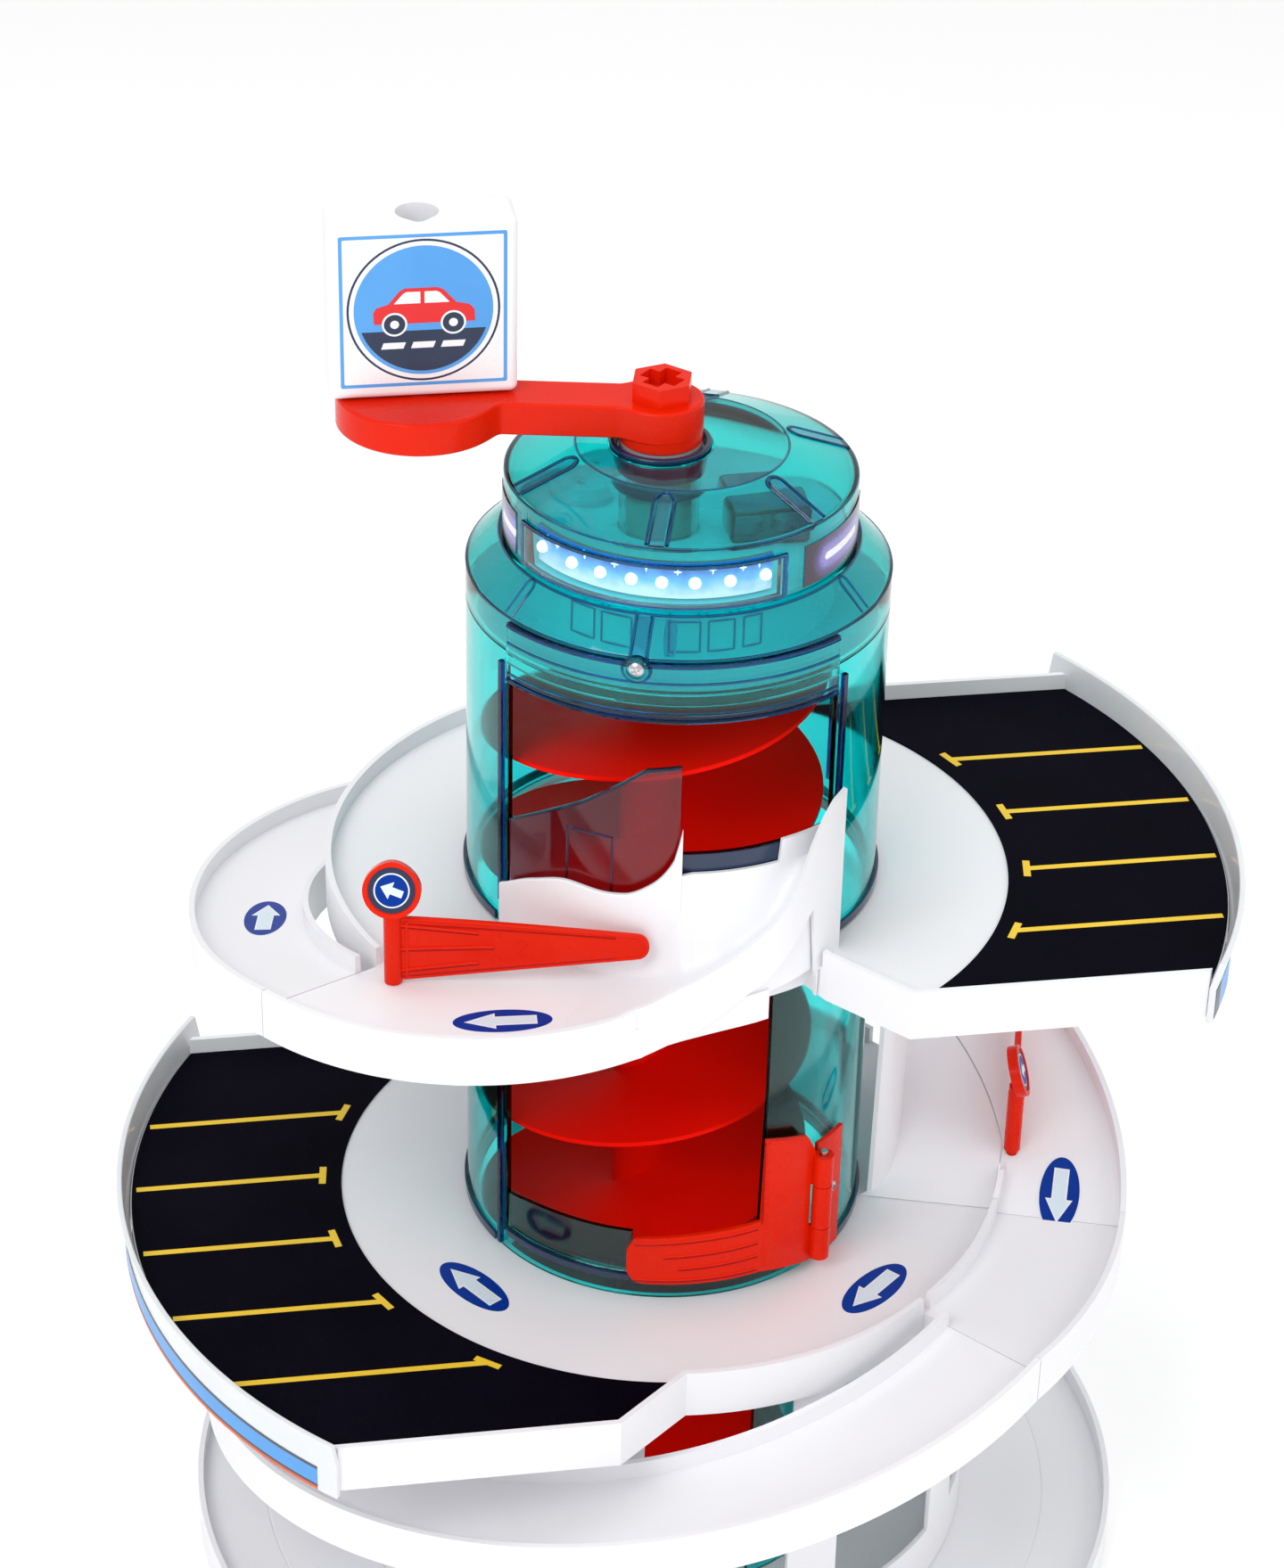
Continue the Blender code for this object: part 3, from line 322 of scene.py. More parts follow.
def bumps(nt, p, at, parts, distance=0.0004):
    """Adds bumps of several scales: parts is a list of (scale, strength)."""
    last = None
    for scale, strength in parts:
        b = nt.nodes.new("ShaderNodeBump")
        b.inputs["Strength"].default_value = strength
        b.inputs["Distance"].default_value = distance
        nt.links.new(noise(nt, at, scale, 2.0), b.inputs["Height"])
        if last is not None:
            nt.links.new(last, b.inputs["Normal"])
        last = b.outputs["Normal"]
    nt.links.new(last, p.inputs["Normal"])


def moulded(name, a, b, rough=(0.2, 0.32), coat=0.0, bump=((35.0, 0.12), (900.0, 0.05)), metal=0.0, ior=1.5, sss=0.0, spec=0.5, lit=0.0):
    """Moulded plastic: faint flow marks in the colour, uneven gloss and a very fine skin texture. With lit, it also
    glows faintly in its own colour: painted light standing in for light bounced into dim places."""
    m, nt, p = start(name)
    at = coords(nt)
    flow = noise(nt, at, 14.0, 4.0, 0.6)
    nt.links.new(blend_colour(nt, spread(nt, flow, 0.0, 1.0), a, b), p.inputs["Base Color"])
    nt.links.new(spread(nt, noise(nt, at, 60.0, 4.0, 0.65), rough[0], rough[1]), p.inputs["Roughness"])
    bumps(nt, p, at, bump)
    p.inputs["Metallic"].default_value = metal
    p.inputs["IOR"].default_value = ior
    p.inputs["Specular IOR Level"].default_value = spec
    p.inputs["Coat Weight"].default_value = coat
    p.inputs["Coat Roughness"].default_value = 0.08
    # Painted light: lit makes the plastic glow faintly in its own colour, in place of bounce light.
    if lit:
        nt.links.new(blend_colour(nt, spread(nt, flow, 0.0, 1.0), a, b), p.inputs["Emission Color"])
        p.inputs["Emission Strength"].default_value = lit
    if sss:
        p.inputs["Subsurface Weight"].default_value = sss
        p.inputs["Subsurface Scale"].default_value = 0.004
    return m


def clear_plastic(name, colour, density, rough=0.02, tint=(1.0, 1.0, 1.0), ior=1.45, spec=0.08):
    """Tinted clear plastic: the wall's thickness sets how deep its colour is,
    so edges and ribs come out dark. Lamps shine through it."""
    m, nt, p = start(name)
    at = coords(nt)
    p.inputs["Base Color"].default_value = (*tint, 1.0)
    nt.links.new(spread(nt, noise(nt, at, 45.0, 3.0), rough, rough + 0.05), p.inputs["Roughness"])
    p.inputs["Transmission Weight"].default_value = 1.0
    p.inputs["IOR"].default_value = ior
    p.inputs["Specular IOR Level"].default_value = spec
    bumps(nt, p, at, ((28.0, 0.10),), 0.0003)
    out = nt.nodes["Material Output"]
    path = nt.nodes.new("ShaderNodeLightPath")
    see = nt.nodes.new("ShaderNodeBsdfTransparent")
    see.inputs["Color"].default_value = (*tint, 1.0)
    mix = nt.nodes.new("ShaderNodeMixShader")
    nt.links.new(path.outputs["Is Shadow Ray"], mix.inputs["Fac"])
    nt.links.new(p.outputs["BSDF"], mix.inputs[1])
    nt.links.new(see.outputs["BSDF"], mix.inputs[2])
    nt.links.new(mix.outputs["Shader"], out.inputs["Surface"])
    if density:
        v = nt.nodes.new("ShaderNodeVolumeAbsorption")
        v.inputs["Color"].default_value = (*colour, 1.0)
        v.inputs["Density"].default_value = density
        nt.links.new(v.outputs["Volume"], out.inputs["Volume"])
    return m


WHITE = moulded("white_plastic", (0.872, 0.872, 0.900), (0.888, 0.888, 0.915), (0.30, 0.35), coat=0.06, bump=((30.0, 0.012), (1100.0, 0.02)), spec=0.28)
RED = moulded("red_plastic", (0.74, 0.013, 0.001), (0.78, 0.017, 0.001), (0.24, 0.30), coat=0.05, bump=((30.0, 0.03), (1100.0, 0.03)), spec=0.12)
# Dark red for thin lines of painted shade under the ribs of the red arms.
RED_PAINTED_SHADE = moulded("red_plastic_shade", (0.40, 0.003, 0.001), (0.46, 0.005, 0.001), (0.30, 0.36), bump=((1100.0, 0.03),), spec=0.1)
# Red of the spiral lift, with a faint painted glow standing in for the light that reaches inside the tower.
RED_LIFT_PAINTED_GLOW = moulded("red_lift_plastic_painted_glow", (0.80, 0.004, 0.001), (0.85, 0.006, 0.001), (0.30, 0.38), coat=0.0, bump=((26.0, 0.03), (1100.0, 0.03)), spec=0.03, lit=0.10)
NAVY = moulded("navy_plastic", (0.003, 0.016, 0.055), (0.006, 0.026, 0.080), (0.12, 0.22), coat=0.3)
GREY = moulded("grey_plastic", (0.20, 0.21, 0.22), (0.27, 0.28, 0.29), (0.35, 0.5))
BLACK = moulded("black_plastic", (0.010, 0.010, 0.012), (0.02, 0.02, 0.022), (0.35, 0.5))
SHAFT_GREY = moulded("shaft_plastic", (0.36, 0.34, 0.36), (0.44, 0.41, 0.43), (0.3, 0.45))
STEEL = moulded("screw_steel", (0.55, 0.55, 0.57), (0.68, 0.68, 0.70), (0.18, 0.34), metal=1.0, bump=((300.0, 0.2),))
TEAL = clear_plastic("teal_clear", (0.05, 0.962, 0.960), 1350.0)
TEAL_THICK = clear_plastic("teal_cap", (0.0, 0.962, 0.957), 1800.0)
EDGE_TEAL = clear_plastic("teal_edge", (0.0, 0.52, 0.78), 2300.0, spec=0.5)
CHANNEL_TEAL = clear_plastic("teal_channel", (0.0, 0.70, 0.86), 1500.0)
BOX_TEAL = clear_plastic("teal_box", (0.0, 0.76, 0.82), 1500.0)
# Opaque teal for the plate, drum and speaker, with a faint painted glow standing in for light bounced inside the dome.
SOLID_TEAL_PAINTED_GLOW = moulded("teal_solid_painted_glow", (0.02, 0.47, 0.54), (0.03, 0.53, 0.60), (0.22, 0.30), coat=0.0, bump=((40.0, 0.05), (900.0, 0.04)), spec=0.1, lit=0.2)
SMOKE = clear_plastic("guard_clear", (0.44, 0.08, 0.42), 560.0)
LENS = clear_plastic("lens_clear", (0.75, 0.92, 1.0), 60.0, spec=0.4)
MILKY = moulded("rail_plastic", (0.74, 0.77, 0.80), (0.82, 0.85, 0.87), (0.14, 0.24), coat=0.25, sss=0.25)
YELLOW = moulded("line_yellow", (0.86, 0.55, 0.015), (0.93, 0.63, 0.03), (0.35, 0.5), bump=((500.0, 0.1),))
BLUE = moulded("print_blue", (0.001, 0.030, 0.27), (0.002, 0.040, 0.32), (0.26, 0.36), bump=((500.0, 0.06),), spec=0.1)
PALE = moulded("print_pale", (0.66, 0.78, 0.86), (0.74, 0.85, 0.92), (0.24, 0.34), bump=((500.0, 0.08),))
PAPER = moulded("print_white", (0.84, 0.84, 0.86), (0.90, 0.90, 0.92), (0.24, 0.34), bump=((500.0, 0.08),))
SKY = moulded("print_sky", (0.07, 0.32, 0.76), (0.10, 0.38, 0.82), (0.26, 0.36), bump=((700.0, 0.15),))
INK = moulded("print_navy", (0.008, 0.02, 0.06), (0.014, 0.03, 0.08), (0.24, 0.34), bump=((500.0, 0.08),))
PRINT_RED = moulded("print_red", (0.74, 0.008, 0.010), (0.80, 0.014, 0.014), (0.24, 0.34), bump=((500.0, 0.08),))
PRINT_GREY = moulded("print_grey", (0.06, 0.065, 0.08), (0.09, 0.095, 0.11), (0.3, 0.4), bump=((500.0, 0.08),))
ORANGE = moulded("print_orange", (0.80, 0.10, 0.01), (0.86, 0.14, 0.02), (0.26, 0.36), bump=((500.0, 0.08),))
TAN = moulded("board_tan", (0.30, 0.19, 0.09), (0.42, 0.28, 0.14), (0.45, 0.6), bump=((200.0, 0.3),))


def asphalt():
    m, nt, p = start("asphalt_print")
    at = coords(nt)
    grain = noise(nt, at, 700.0, 5.0, 0.8)
    patch = noise(nt, at, 18.0, 3.0)
    base = blend_colour(nt, spread(nt, patch, 0.0, 1.0), (0.0016, 0.0014, 0.0045), (0.0035, 0.003, 0.0085))
    mix = nt.nodes.new("ShaderNodeMix")
    mix.data_type = "RGBA"
    mix.inputs["B"].default_value = (0.011, 0.009, 0.014, 1.0)
    nt.links.new(base, mix.inputs["A"])
    nt.links.new(spread(nt, grain, 0.0, 0.8, 0.56, 0.72), mix.inputs["Factor"])
    nt.links.new(mix.outputs["Result"], p.inputs["Base Color"])
    nt.links.new(spread(nt, grain, 0.42, 0.62), p.inputs["Roughness"])
    bumps(nt, p, at, ((700.0, 0.12),))
    p.inputs["Specular IOR Level"].default_value = 0.02
    return m


ASPHALT = asphalt()


def glow(name, colour, strength, roughness=0.2):
    m, nt, p = start(name)
    at = coords(nt)
    mottle = spread(nt, noise(nt, at, 400.0, 3.0), 0.75, 1.0)
    nt.links.new(blend_colour(nt, mottle, tuple(c * 0.7 for c in colour), colour), p.inputs["Base Color"])
    nt.links.new(blend_colour(nt, mottle, tuple(c * 0.8 for c in colour), colour), p.inputs["Emission Color"])
    p.inputs["Emission Strength"].default_value = strength
    p.inputs["Roughness"].default_value = roughness
    return m


BULB = glow("lamp_bulb", (0.86, 0.96, 1.0), 1.5)
GLINT = glow("lamp_glint", (0.55, 0.85, 1.0), 2.4)


def lamp_backing():
    """The reflector behind the lamps: blue at the top, white at the foot, with a noisy ripple along the change of
    colour."""
    m, nt, p = start("lamp_reflector")
    at = coords(nt)
    xyz = nt.nodes.new("ShaderNodeSeparateXYZ")
    nt.links.new(at, xyz.inputs[0])
    high = nt.nodes.new("ShaderNodeMapRange")
    high.inputs["From Min"].default_value, high.inputs["From Max"].default_value = 0.500, 0.5165
    nt.links.new(xyz.outputs["Z"], high.inputs["Value"])
    ramp = nt.nodes.new("ShaderNodeValToRGB")
    ramp.color_ramp.elements[0].color = (0.60, 0.87, 1.0, 1.0)
    ramp.color_ramp.elements[0].position = 0.12
    ramp.color_ramp.elements[1].color = (0.0, 0.13, 0.55, 1.0)
    ramp.color_ramp.elements[1].position = 0.85
    mid = ramp.color_ramp.elements.new(0.46)
    mid.color = (0.10, 0.50, 0.92, 1.0)
    ripple = nt.nodes.new("ShaderNodeMath")
    ripple.operation = "MULTIPLY_ADD"
    ripple.inputs[1].default_value, ripple.inputs[2].default_value = 0.35, -0.17
    nt.links.new(noise(nt, at, 160.0, 2.0), ripple.inputs[0])
    add = nt.nodes.new("ShaderNodeMath")
    nt.links.new(high.outputs["Result"], add.inputs[0])
    nt.links.new(ripple.outputs[0], add.inputs[1])
    nt.links.new(add.outputs[0], ramp.inputs["Fac"])
    nt.links.new(ramp.outputs["Color"], p.inputs["Base Color"])
    nt.links.new(ramp.outputs["Color"], p.inputs["Emission Color"])
    p.inputs["Emission Strength"].default_value = 0.12
    p.inputs["Roughness"].default_value = 0.25
    return m


REFLECTOR = lamp_backing()


# ------------------------------------------------------------------ decks
def edge_x(radius, y):
    return math.sqrt(radius * radius - y * y)


BACK_CORNER = math.degrees(math.asin(BACK / R_LANE))
BACK_PARK = math.degrees(math.asin(BACK / R_PARK))
FRONT_PARK_1 = math.degrees(math.asin(-FRONT_1 / R_PARK))
FRONT_PARK_2 = math.degrees(math.asin(-FRONT_2 / R_PARK))
EDGE = 0.55


def nodes_named(*starts):
    return [n for n in sorted(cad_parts) if any(n == s or n.startswith(s + "_") and n[len(s) + 1:].isdigit() for s in starts)]


base = raw("base", prism(bmesh.new(), circle(208.5, 168), 0, Z_BASE + RIM_UP))
boolean(base, prism(bmesh.new(), circle(206.0, 168), Z_BASE, Z_BASE + 20))
boolean(base, turned(bmesh.new(), [(26.0, -5.0), (206.0, -5.0), (206.0, Z_BASE - FLOOR), (26.0, Z_BASE - FLOOR)], steps=168))
boolean(base, turned(bmesh.new(), [(200.0, Z_BASE), (215.0, Z_BASE), (215.0, 40.0), (200.0, 40.0)], steps=24, start=-68.0, end=-48.0))
for radius in (95.0, 135.0, 178.0):
    boolean(base, turned(bmesh.new(), [(radius - 0.5, Z_BASE - 0.35), (radius + 0.5, Z_BASE - 0.35), (radius + 0.5, Z_BASE + 2), (radius - 0.5, Z_BASE + 2)], steps=120))
dress(base, WHITE, "garage", slot="white_plastic", replaces=["base_tray"], edge=0.5)

SKIRT_OUT = R_LANE - WALL - 0.6
skirt = raw("skirt", turned(bmesh.new(), [
    (SKIRT_OUT - WALL, Z_BASE + GAP), (SKIRT_OUT, Z_BASE + GAP), (SKIRT_OUT, Z1 - FLOOR - GAP), (SKIRT_OUT - WALL, Z1 - FLOOR - GAP)], steps=160))
for k in range(10):
    middle = -88.8 + 36.0 * k
    sill = Z_BASE - 2 if k in (0, 9) else Z_BASE + 26
    boolean(skirt, turned(bmesh.new(), [(SKIRT_OUT - 12, sill), (SKIRT_OUT + 12, sill), (SKIRT_OUT + 12, Z1 - 17), (SKIRT_OUT - 12, Z1 - 17)],
                          steps=14, start=middle - 13.0, end=middle + 13.0))
dress(skirt, WHITE, "garage", slot="white_plastic", replaces=nodes_named("support_skirt"), edge=0.6)


def tray(runs, z, name):
    outline, above, below = [], [], []
    for points, walled in runs:
        for point in points:
            outline.append(point)
            above.append(WALL if walled else -1.0)
            below.append(WALL)
    deck = raw(name, prism(bmesh.new(), outline, z - RIM_DOWN, z + RIM_UP))
    boolean(deck, prism(bmesh.new(), inset(outline, above), z, z + RIM_UP + 5))
    boolean(deck, prism(bmesh.new(), inset(outline, below), z - RIM_DOWN - 5, z - FLOOR))
    boolean(deck, prism(bmesh.new(), circle(R_HOLE, 120), z - RIM_DOWN - 6, z + RIM_UP + 6))
    return deck


PART_WALL = [(-4.0, 152.2), (-6.0, 151.0), (-10.0, 148.9), (-15.0, 147.0), (-23.4, 145.0), (-34.0, 143.6), (-43.0, 142.6), (-47.6, 142.4)]
deck_1 = tray([
    (arc(R_ROUT, SEAM_1, LAND_1), True),
    ([polar(R_ROUT, LAND_1)], False),
    (arc(R_LANE, LAND_1, 180 - BACK_CORNER), True),
    ([polar(R_LANE, 180 - BACK_CORNER)], True),
    (arc(R_PARK, 180 - BACK_PARK, 180 + FRONT_PARK_1), False),
    ([polar(R_PARK, 180 + FRONT_PARK_1)], True),
    ([(-44.0, FRONT_1)], True),
    (arc(R_LANE, -95.2, SEAM_1), True),
    ([polar(R_LANE, SEAM_1)], False),
], Z1, "lower_deck")
loops = []
for angle in span(LAND_1 - 0.3, -47.6, 24):
    r = smooth_table([(-a, r) for a, r in PART_WALL], -angle)
    loops.append([(*polar(r - 1.25, angle), Z1 - 1.2), (*polar(r + 1.25, angle), Z1 - 1.2),
                  (*polar(r + 1.25, angle), Z1 + RIM_UP - 0.01), (*polar(r - 1.25, angle), Z1 + RIM_UP - 0.01)])
boolean(deck_1, sweep(bmesh.new(), loops), "UNION")
boolean(deck_1, turned(bmesh.new(), [(139.0, Z1), (148.0, Z1), (148.0, Z1 + 20), (139.0, Z1 + 20)], steps=36, start=LAND_1 + 0.3, end=38.0))
dress(deck_1, WHITE, "garage", slot="white_plastic", replaces=["deck_1"], edge=EDGE)


def lobe_radius(angle):
    c, s = math.cos(math.radians(angle)), math.sin(math.radians(angle))
    along = LOBE[0] * c + LOBE[1] * s
    off2 = LOBE[0] ** 2 + LOBE[1] ** 2 - along * along
    return along + math.sqrt(R_LOBE * R_LOBE - off2)


SLIDE_OUT = [(-106.0, lobe_radius(-106.0)), (-97.5, 113.0), (-87.3, 106.4), (-76.0, 103.0), (-65.0, 98.9), (-49.0, 91.2)]


def front_radius(angle):
    return lobe_radius(angle) if angle < -106.0 else smooth_table(SLIDE_OUT, angle)


def front_slant(angle):
    change = (front_radius(angle + 0.8) - front_radius(angle - 0.8)) / math.radians(1.6)
    return math.hypot(1.0, change / front_radius(angle))


def ease(x):
    x = min(1.0, max(0.0, x))
    return x * x * (3.0 - 2.0 * x)


# The slide and the deck are one surface to the eye: the slide's outer wall
# rises out of the rim, and its floor out of the deck's floor.
front_edge = [polar(front_radius(a), a) for a in span(SEAM_2 - 360.0, -104.5, 34)]
slide_edge = [front_edge.pop()]
slide_edge += [polar(front_radius(a) - 1.4 * front_slant(a) * ease((a + 104.5) / 3.0), a) for a in (-102.5, -100.0, -97.0, -94.5, -90.9, -87.3, -83.5, -80.0, -76.6)]
slide_edge += [polar(88.0, a) for a in (-75.4, -71.0, -66.5)]
deck_2 = tray([
    ([(48.6, -89.5)], True),
    ([(76.5, FRONT_2)], True),
    (arc(R_PARK, -FRONT_PARK_2, BACK_PARK), False),
    ([polar(R_PARK, BACK_PARK)], True),
    (arc(R_LANE, BACK_CORNER, SEAM_2), True),
    ([polar(R_LANE, SEAM_2)], False),
    (front_edge, True),
    (slide_edge, True),
    ([polar(88.0, -61.5)], True),
], Z2, "upper_deck")
boolean(deck_2, rod(bmesh.new(), (GATE_2[0] + 0.01, GATE_2[1] + 0.02, Z2 - 8), (GATE_2[0] + 0.01, GATE_2[1] + 0.02, Z2 + 4), 2.6))
loops = []
for angle in span(-105.6, -52.0, 36):
    loops.append([(*polar(84.0, angle), Z2), (*polar(front_radius(angle) + 1.5, angle), Z2),
                  (*polar(front_radius(angle) + 1.5, angle), Z2 + 20), (*polar(84.0, angle), Z2 + 20)])
boolean(deck_2, sweep(bmesh.new(), loops))
dress(deck_2, WHITE, "garage", slot="white_plastic", replaces=["deck_2"], edge=EDGE)


# ------------------------------------------------------------------ ramps
def ramp(name, start, end, z_start, z_end, outer, inner, lowest, rim_in=lambda a: RIM_UP):
    loops = []
    for angle in span(start, end, round(abs(end - start) / 2.0)):
        z = z_start + (z_end - z_start) * (angle - start) / (end - start)
        r0, r1 = inner(angle), outer(angle)
        skirt_z, floor_z = max(z - RIM_DOWN, lowest), max(z - FLOOR, lowest + 0.05)
        rows = [(r0, z + rim_in(angle)), (r0 + WALL, z + rim_in(angle)), (r0 + WALL, z), (r1 - WALL, z), (r1 - WALL, z + RIM_UP),
                (r1, z + RIM_UP), (r1, skirt_z), (r1 - WALL, skirt_z), (r1 - WALL, floor_z), (r0 + WALL, floor_z),
                (r0 + WALL, skirt_z), (r0, skirt_z)]
        loops.append([(*polar(r, angle), h) for r, h in rows])
    return raw(name, sweep(bmesh.new(), loops))


def upper_outer(angle):
    return smooth_table([(LAND_1, R_ROUT), (60.0, R_ROUT), (150.0, 200.5), (186.0, 200.5),
                         (SEAM_2, front_radius(SEAM_2 - 360.0))], angle)


def upper_inner(angle):
    return min(R_RIN, smooth_table([(-a, r - 1.25) for a, r in PART_WALL], -angle)) if angle < -3.0 else R_RIN


def upper_floor(angle):
    return Z1 + (Z2 - Z1) * (angle - LAND_1) / (SEAM_2 - LAND_1)


up = ramp("ramp_up", SEAM_2 - 0.15, LAND_1 + 0.15, Z2, Z1, upper_outer, upper_inner, 0.0,
          rim_in=lambda a: table([(-12.0, RIM_UP), (-9.0, 0.02), (35.0, 0.02), (41.0, RIM_UP)], a))
boolean(up, rod(bmesh.new(), (*GATE_1, Z1 - 2), (*GATE_1, Z1 + 14), 2.6))
dress(up, WHITE, "garage", slot="white_plastic", replaces=["upper_ramp"], edge=EDGE)
down = ramp("ramp_down", SEAM_1 - 0.15, -272.0, Z1, Z_BASE + 1.8, lambda a: R_ROUT,
            lambda a: table([(-75.0, R_RIN), (SEAM_1, 153.5)], a), Z_BASE + GAP)
dress(down, WHITE, "garage", slot="white_plastic", replaces=["lower_ramp"], edge=EDGE)

APRON_IN = [(-17.0, 87.6), (-13.0, 95.0), (-6.4, 100.2), (0.5, 104.5), (7.3, 109.5), (16.0, 116.0), (21.4, 122.0), (28.0, 134.0), (34.0, 147.0)]
loops = []
for angle in span(-17.0, 34.0, 40):
    z = upper_floor(angle)
    r0, r1 = smooth_table(APRON_IN, angle), upper_inner(angle) - 0.8
    under = max(z - FLOOR, Z1 + GAP)
    tall = Z2 - FLOOR - GAP if angle >= -15.0 else z
    rows = [(r0, tall), (r0 + 2.0, tall), (r0 + 2.0, z), (r1, z), (r1, under), (r0 + 2.0, under + 0.01), (r0 + 2.0, Z1 + GAP), (r0, Z1 + GAP)]
    if tall == z:
        rows[0], rows[1] = (r0, z + 0.02), (r0 + 2.0, z + 0.02)
    loops.append([(*polar(r, angle), h) for r, h in rows])
APRON_LOOPS = loops
piece("apron", sweep(bmesh.new(), loops), WHITE, slot="white_plastic", replaces=["lane_apron"], edge=0.4)


# ------------------------------------------------------------------ printed sheets
INNER_BACK = BACK - WALL - 0.4
INNER_FRONT = -FRONT_1 - WALL - 0.4
mat_2 = (arc(R_PARK - 0.5, -math.degrees(math.asin(INNER_BACK / (R_PARK - 0.5))), math.degrees(math.asin(INNER_BACK / (R_PARK - 0.5))), last=True)
         + [(80.5, INNER_BACK)] + arc(140.6, 55.4, -55.4, last=True) + [(80.5, -INNER_BACK)])
mat_1 = (arc(R_PARK - 0.5, 180 - math.degrees(math.asin(INNER_BACK / (R_PARK - 0.5))), 180 + math.degrees(math.asin(INNER_FRONT / (R_PARK - 0.5))), last=True)
         + [(-46.4, -INNER_FRONT), (-19.0, -143.2)] + arc(140.2, 262.3, 124.6, last=True) + [(-80.5, INNER_BACK)])
piece("bay_sheet_2", prism(bmesh.new(), mat_2, Z2 + GAP - 0.3, Z2 + GAP + 0.6), ASPHALT, slot="asphalt_sheet", replaces=["parking_mat_2"], edge=0.15)
piece("bay_sheet_1", prism(bmesh.new(), mat_1, Z1 + GAP - 0.3, Z1 + GAP + 0.6), ASPHALT, slot="asphalt_sheet", replaces=["parking_mat_1"], edge=0.15)


def sheet_on(outline, z, thick=0.1, tilt=None):
    """A thin print lying on a deck, or on a ramp where tilt gives its height."""
    bm = bmesh.new()
    if tilt is None:
        return prism(bm, outline, z, z + thick)
    return sweep(bm, [[(x, y, tilt(x, y) + z) for x, y in outline], [(x, y, tilt(x, y) + z + thick) for x, y in outline]])


lines = {1: bmesh.new(), 2: bmesh.new()}
for deck, side, z, rows in ((1, -1, Z1 + 0.88, [63.3 - 45 * i for i in range(5)]), (2, 1, Z2 + 0.88, [63.6 - 45 * i for i in range(4)])):
    for y in rows:
        x0, x1 = edge_x(148.0, y), edge_x(229.0, y)
        a = math.atan2(y, x0)
        block(lines[deck], (side * (x0 + x1) / 2, y, z + 0.05), (x1 - x0, 3.0, 0.1))
        c = (side * (x0 + 0.4), y)
        t = (-math.sin(a) * side * 1.0, math.cos(a))
        block(lines[deck], (*c, z + 0.052), (3.0, 12.0, 0.1), math.degrees(a) * side)
for deck in (1, 2):
    piece(f"bay_lines_{deck}", lines[deck], YELLOW, slot="asphalt_sheet")


def on_ramp(x, y):
    angle = math.degrees(math.atan2(y, x))
    return upper_floor(angle if angle > -90 else angle + 360)


def strip(bm, centre, heading, rows, low, thick, floor_z):
    """A print that follows the floor under it. Each row is (along, from, to)."""
    c, s = math.cos(math.radians(heading)), math.sin(math.radians(heading))
    loops = []
    for u, v0, v1 in rows:
        loop = []
        for v, h in ((v0, low), (v1, low), (v1, low + thick), (v0, low + thick)):
            x, y = centre[0] + u * c - v * s, centre[1] + u * s + v * c
            loop.append((x, y, floor_z(x, y) + h))
        loops.append(loop)
    return sweep(bm, loops)


def oval(a, b):
    return [(a * math.sin(math.radians(q)), -b * math.cos(math.radians(q)), b * math.cos(math.radians(q))) for q in span(-88.5, 88.5, 60)]


def arrow_oval(name, centre, heading, floor_z, lift=0.0, a=20.9, b=9.3):
    """A blue oval with a white margin and a broad pale arrow in a white line."""
    piece(name + "_edge", strip(bmesh.new(), centre, heading, oval(a, b), lift - 0.05, 0.12, floor_z), PAPER, slot="white_plastic")
    piece(name + "_field", strip(bmesh.new(), centre, heading, oval(a - 0.6, b - 0.6), lift, 0.12, floor_z), BLUE, slot="navy_plastic")
    for part, line, mat, up in (("line", 0.0, PAPER, 0.05), ("arrow", 0.65, PALE, 0.10)):
        bm = bmesh.new()
        shoulder, tip, half = 0.14 * a + line, 0.75 * a - 2.3 * line, 0.64 * b - 1.35 * line
        shaft = 0.36 * b - line
        strip(bm, centre, heading, [(u, -shaft, shaft) for u in span(-0.67 * a + line, shoulder + 0.1, 20)], lift + up, 0.12, floor_z)
        strip(bm, centre, heading, [(u, -half * (tip - u) / (tip - shoulder), half * (tip - u) / (tip - shoulder)) for u in span(shoulder, tip - 0.05, 20)],
              lift + up + 0.005, 0.12, floor_z)
        piece(f"{name}_{part}", bm, mat, slot="white_plastic")


arrow_oval("lane_arrow_1", (-84.2, -107.1), 177.0, lambda x, y: Z2, a=20.2, b=8.2)
arrow_oval("lane_arrow_2", (-168.7, 9.9), 81.2, on_ramp, lift=0.12)
arrow_oval("lane_arrow_3", (169.1, -40.3), -108.2, on_ramp, lift=0.12)
arrow_oval("lane_arrow_4", (76.6, -89.3), -137.4, lambda x, y: Z1)
arrow_oval("lane_arrow_5", (-90.8, -65.9), 123.1, lambda x, y: Z1)


# ------------------------------------------------------------------ guard rails
def rail(name, start, end, z, node, stripes):
    rows = [(0.4, -16.0), (0.4, 0.5), (3.2, 13.0), (5.65, 13.0), (3.0, 0.0), (3.0, -16.0)]
    piece(name, turned(bmesh.new(), [(R_PARK + r, z + h) for r, h in rows], steps=round((end - start) / 1.5), start=start, end=end),
          MILKY, slot="rail_plastic", replaces=[node], edge=0.6, segs=3)
    for number, (a0, a1, h0, h1, mat) in enumerate(stripes):
        out = [(3.02, h0), (3.14, h0), (3.14, h1), (3.02, h1)]
        piece(f"{name}_stripe_{number}", turned(bmesh.new(), [(R_PARK + r, z + h) for r, h in out], steps=max(2, round((a1 - a0) / 1.5)), start=a0, end=a1),
              mat, slot="rail_plastic")


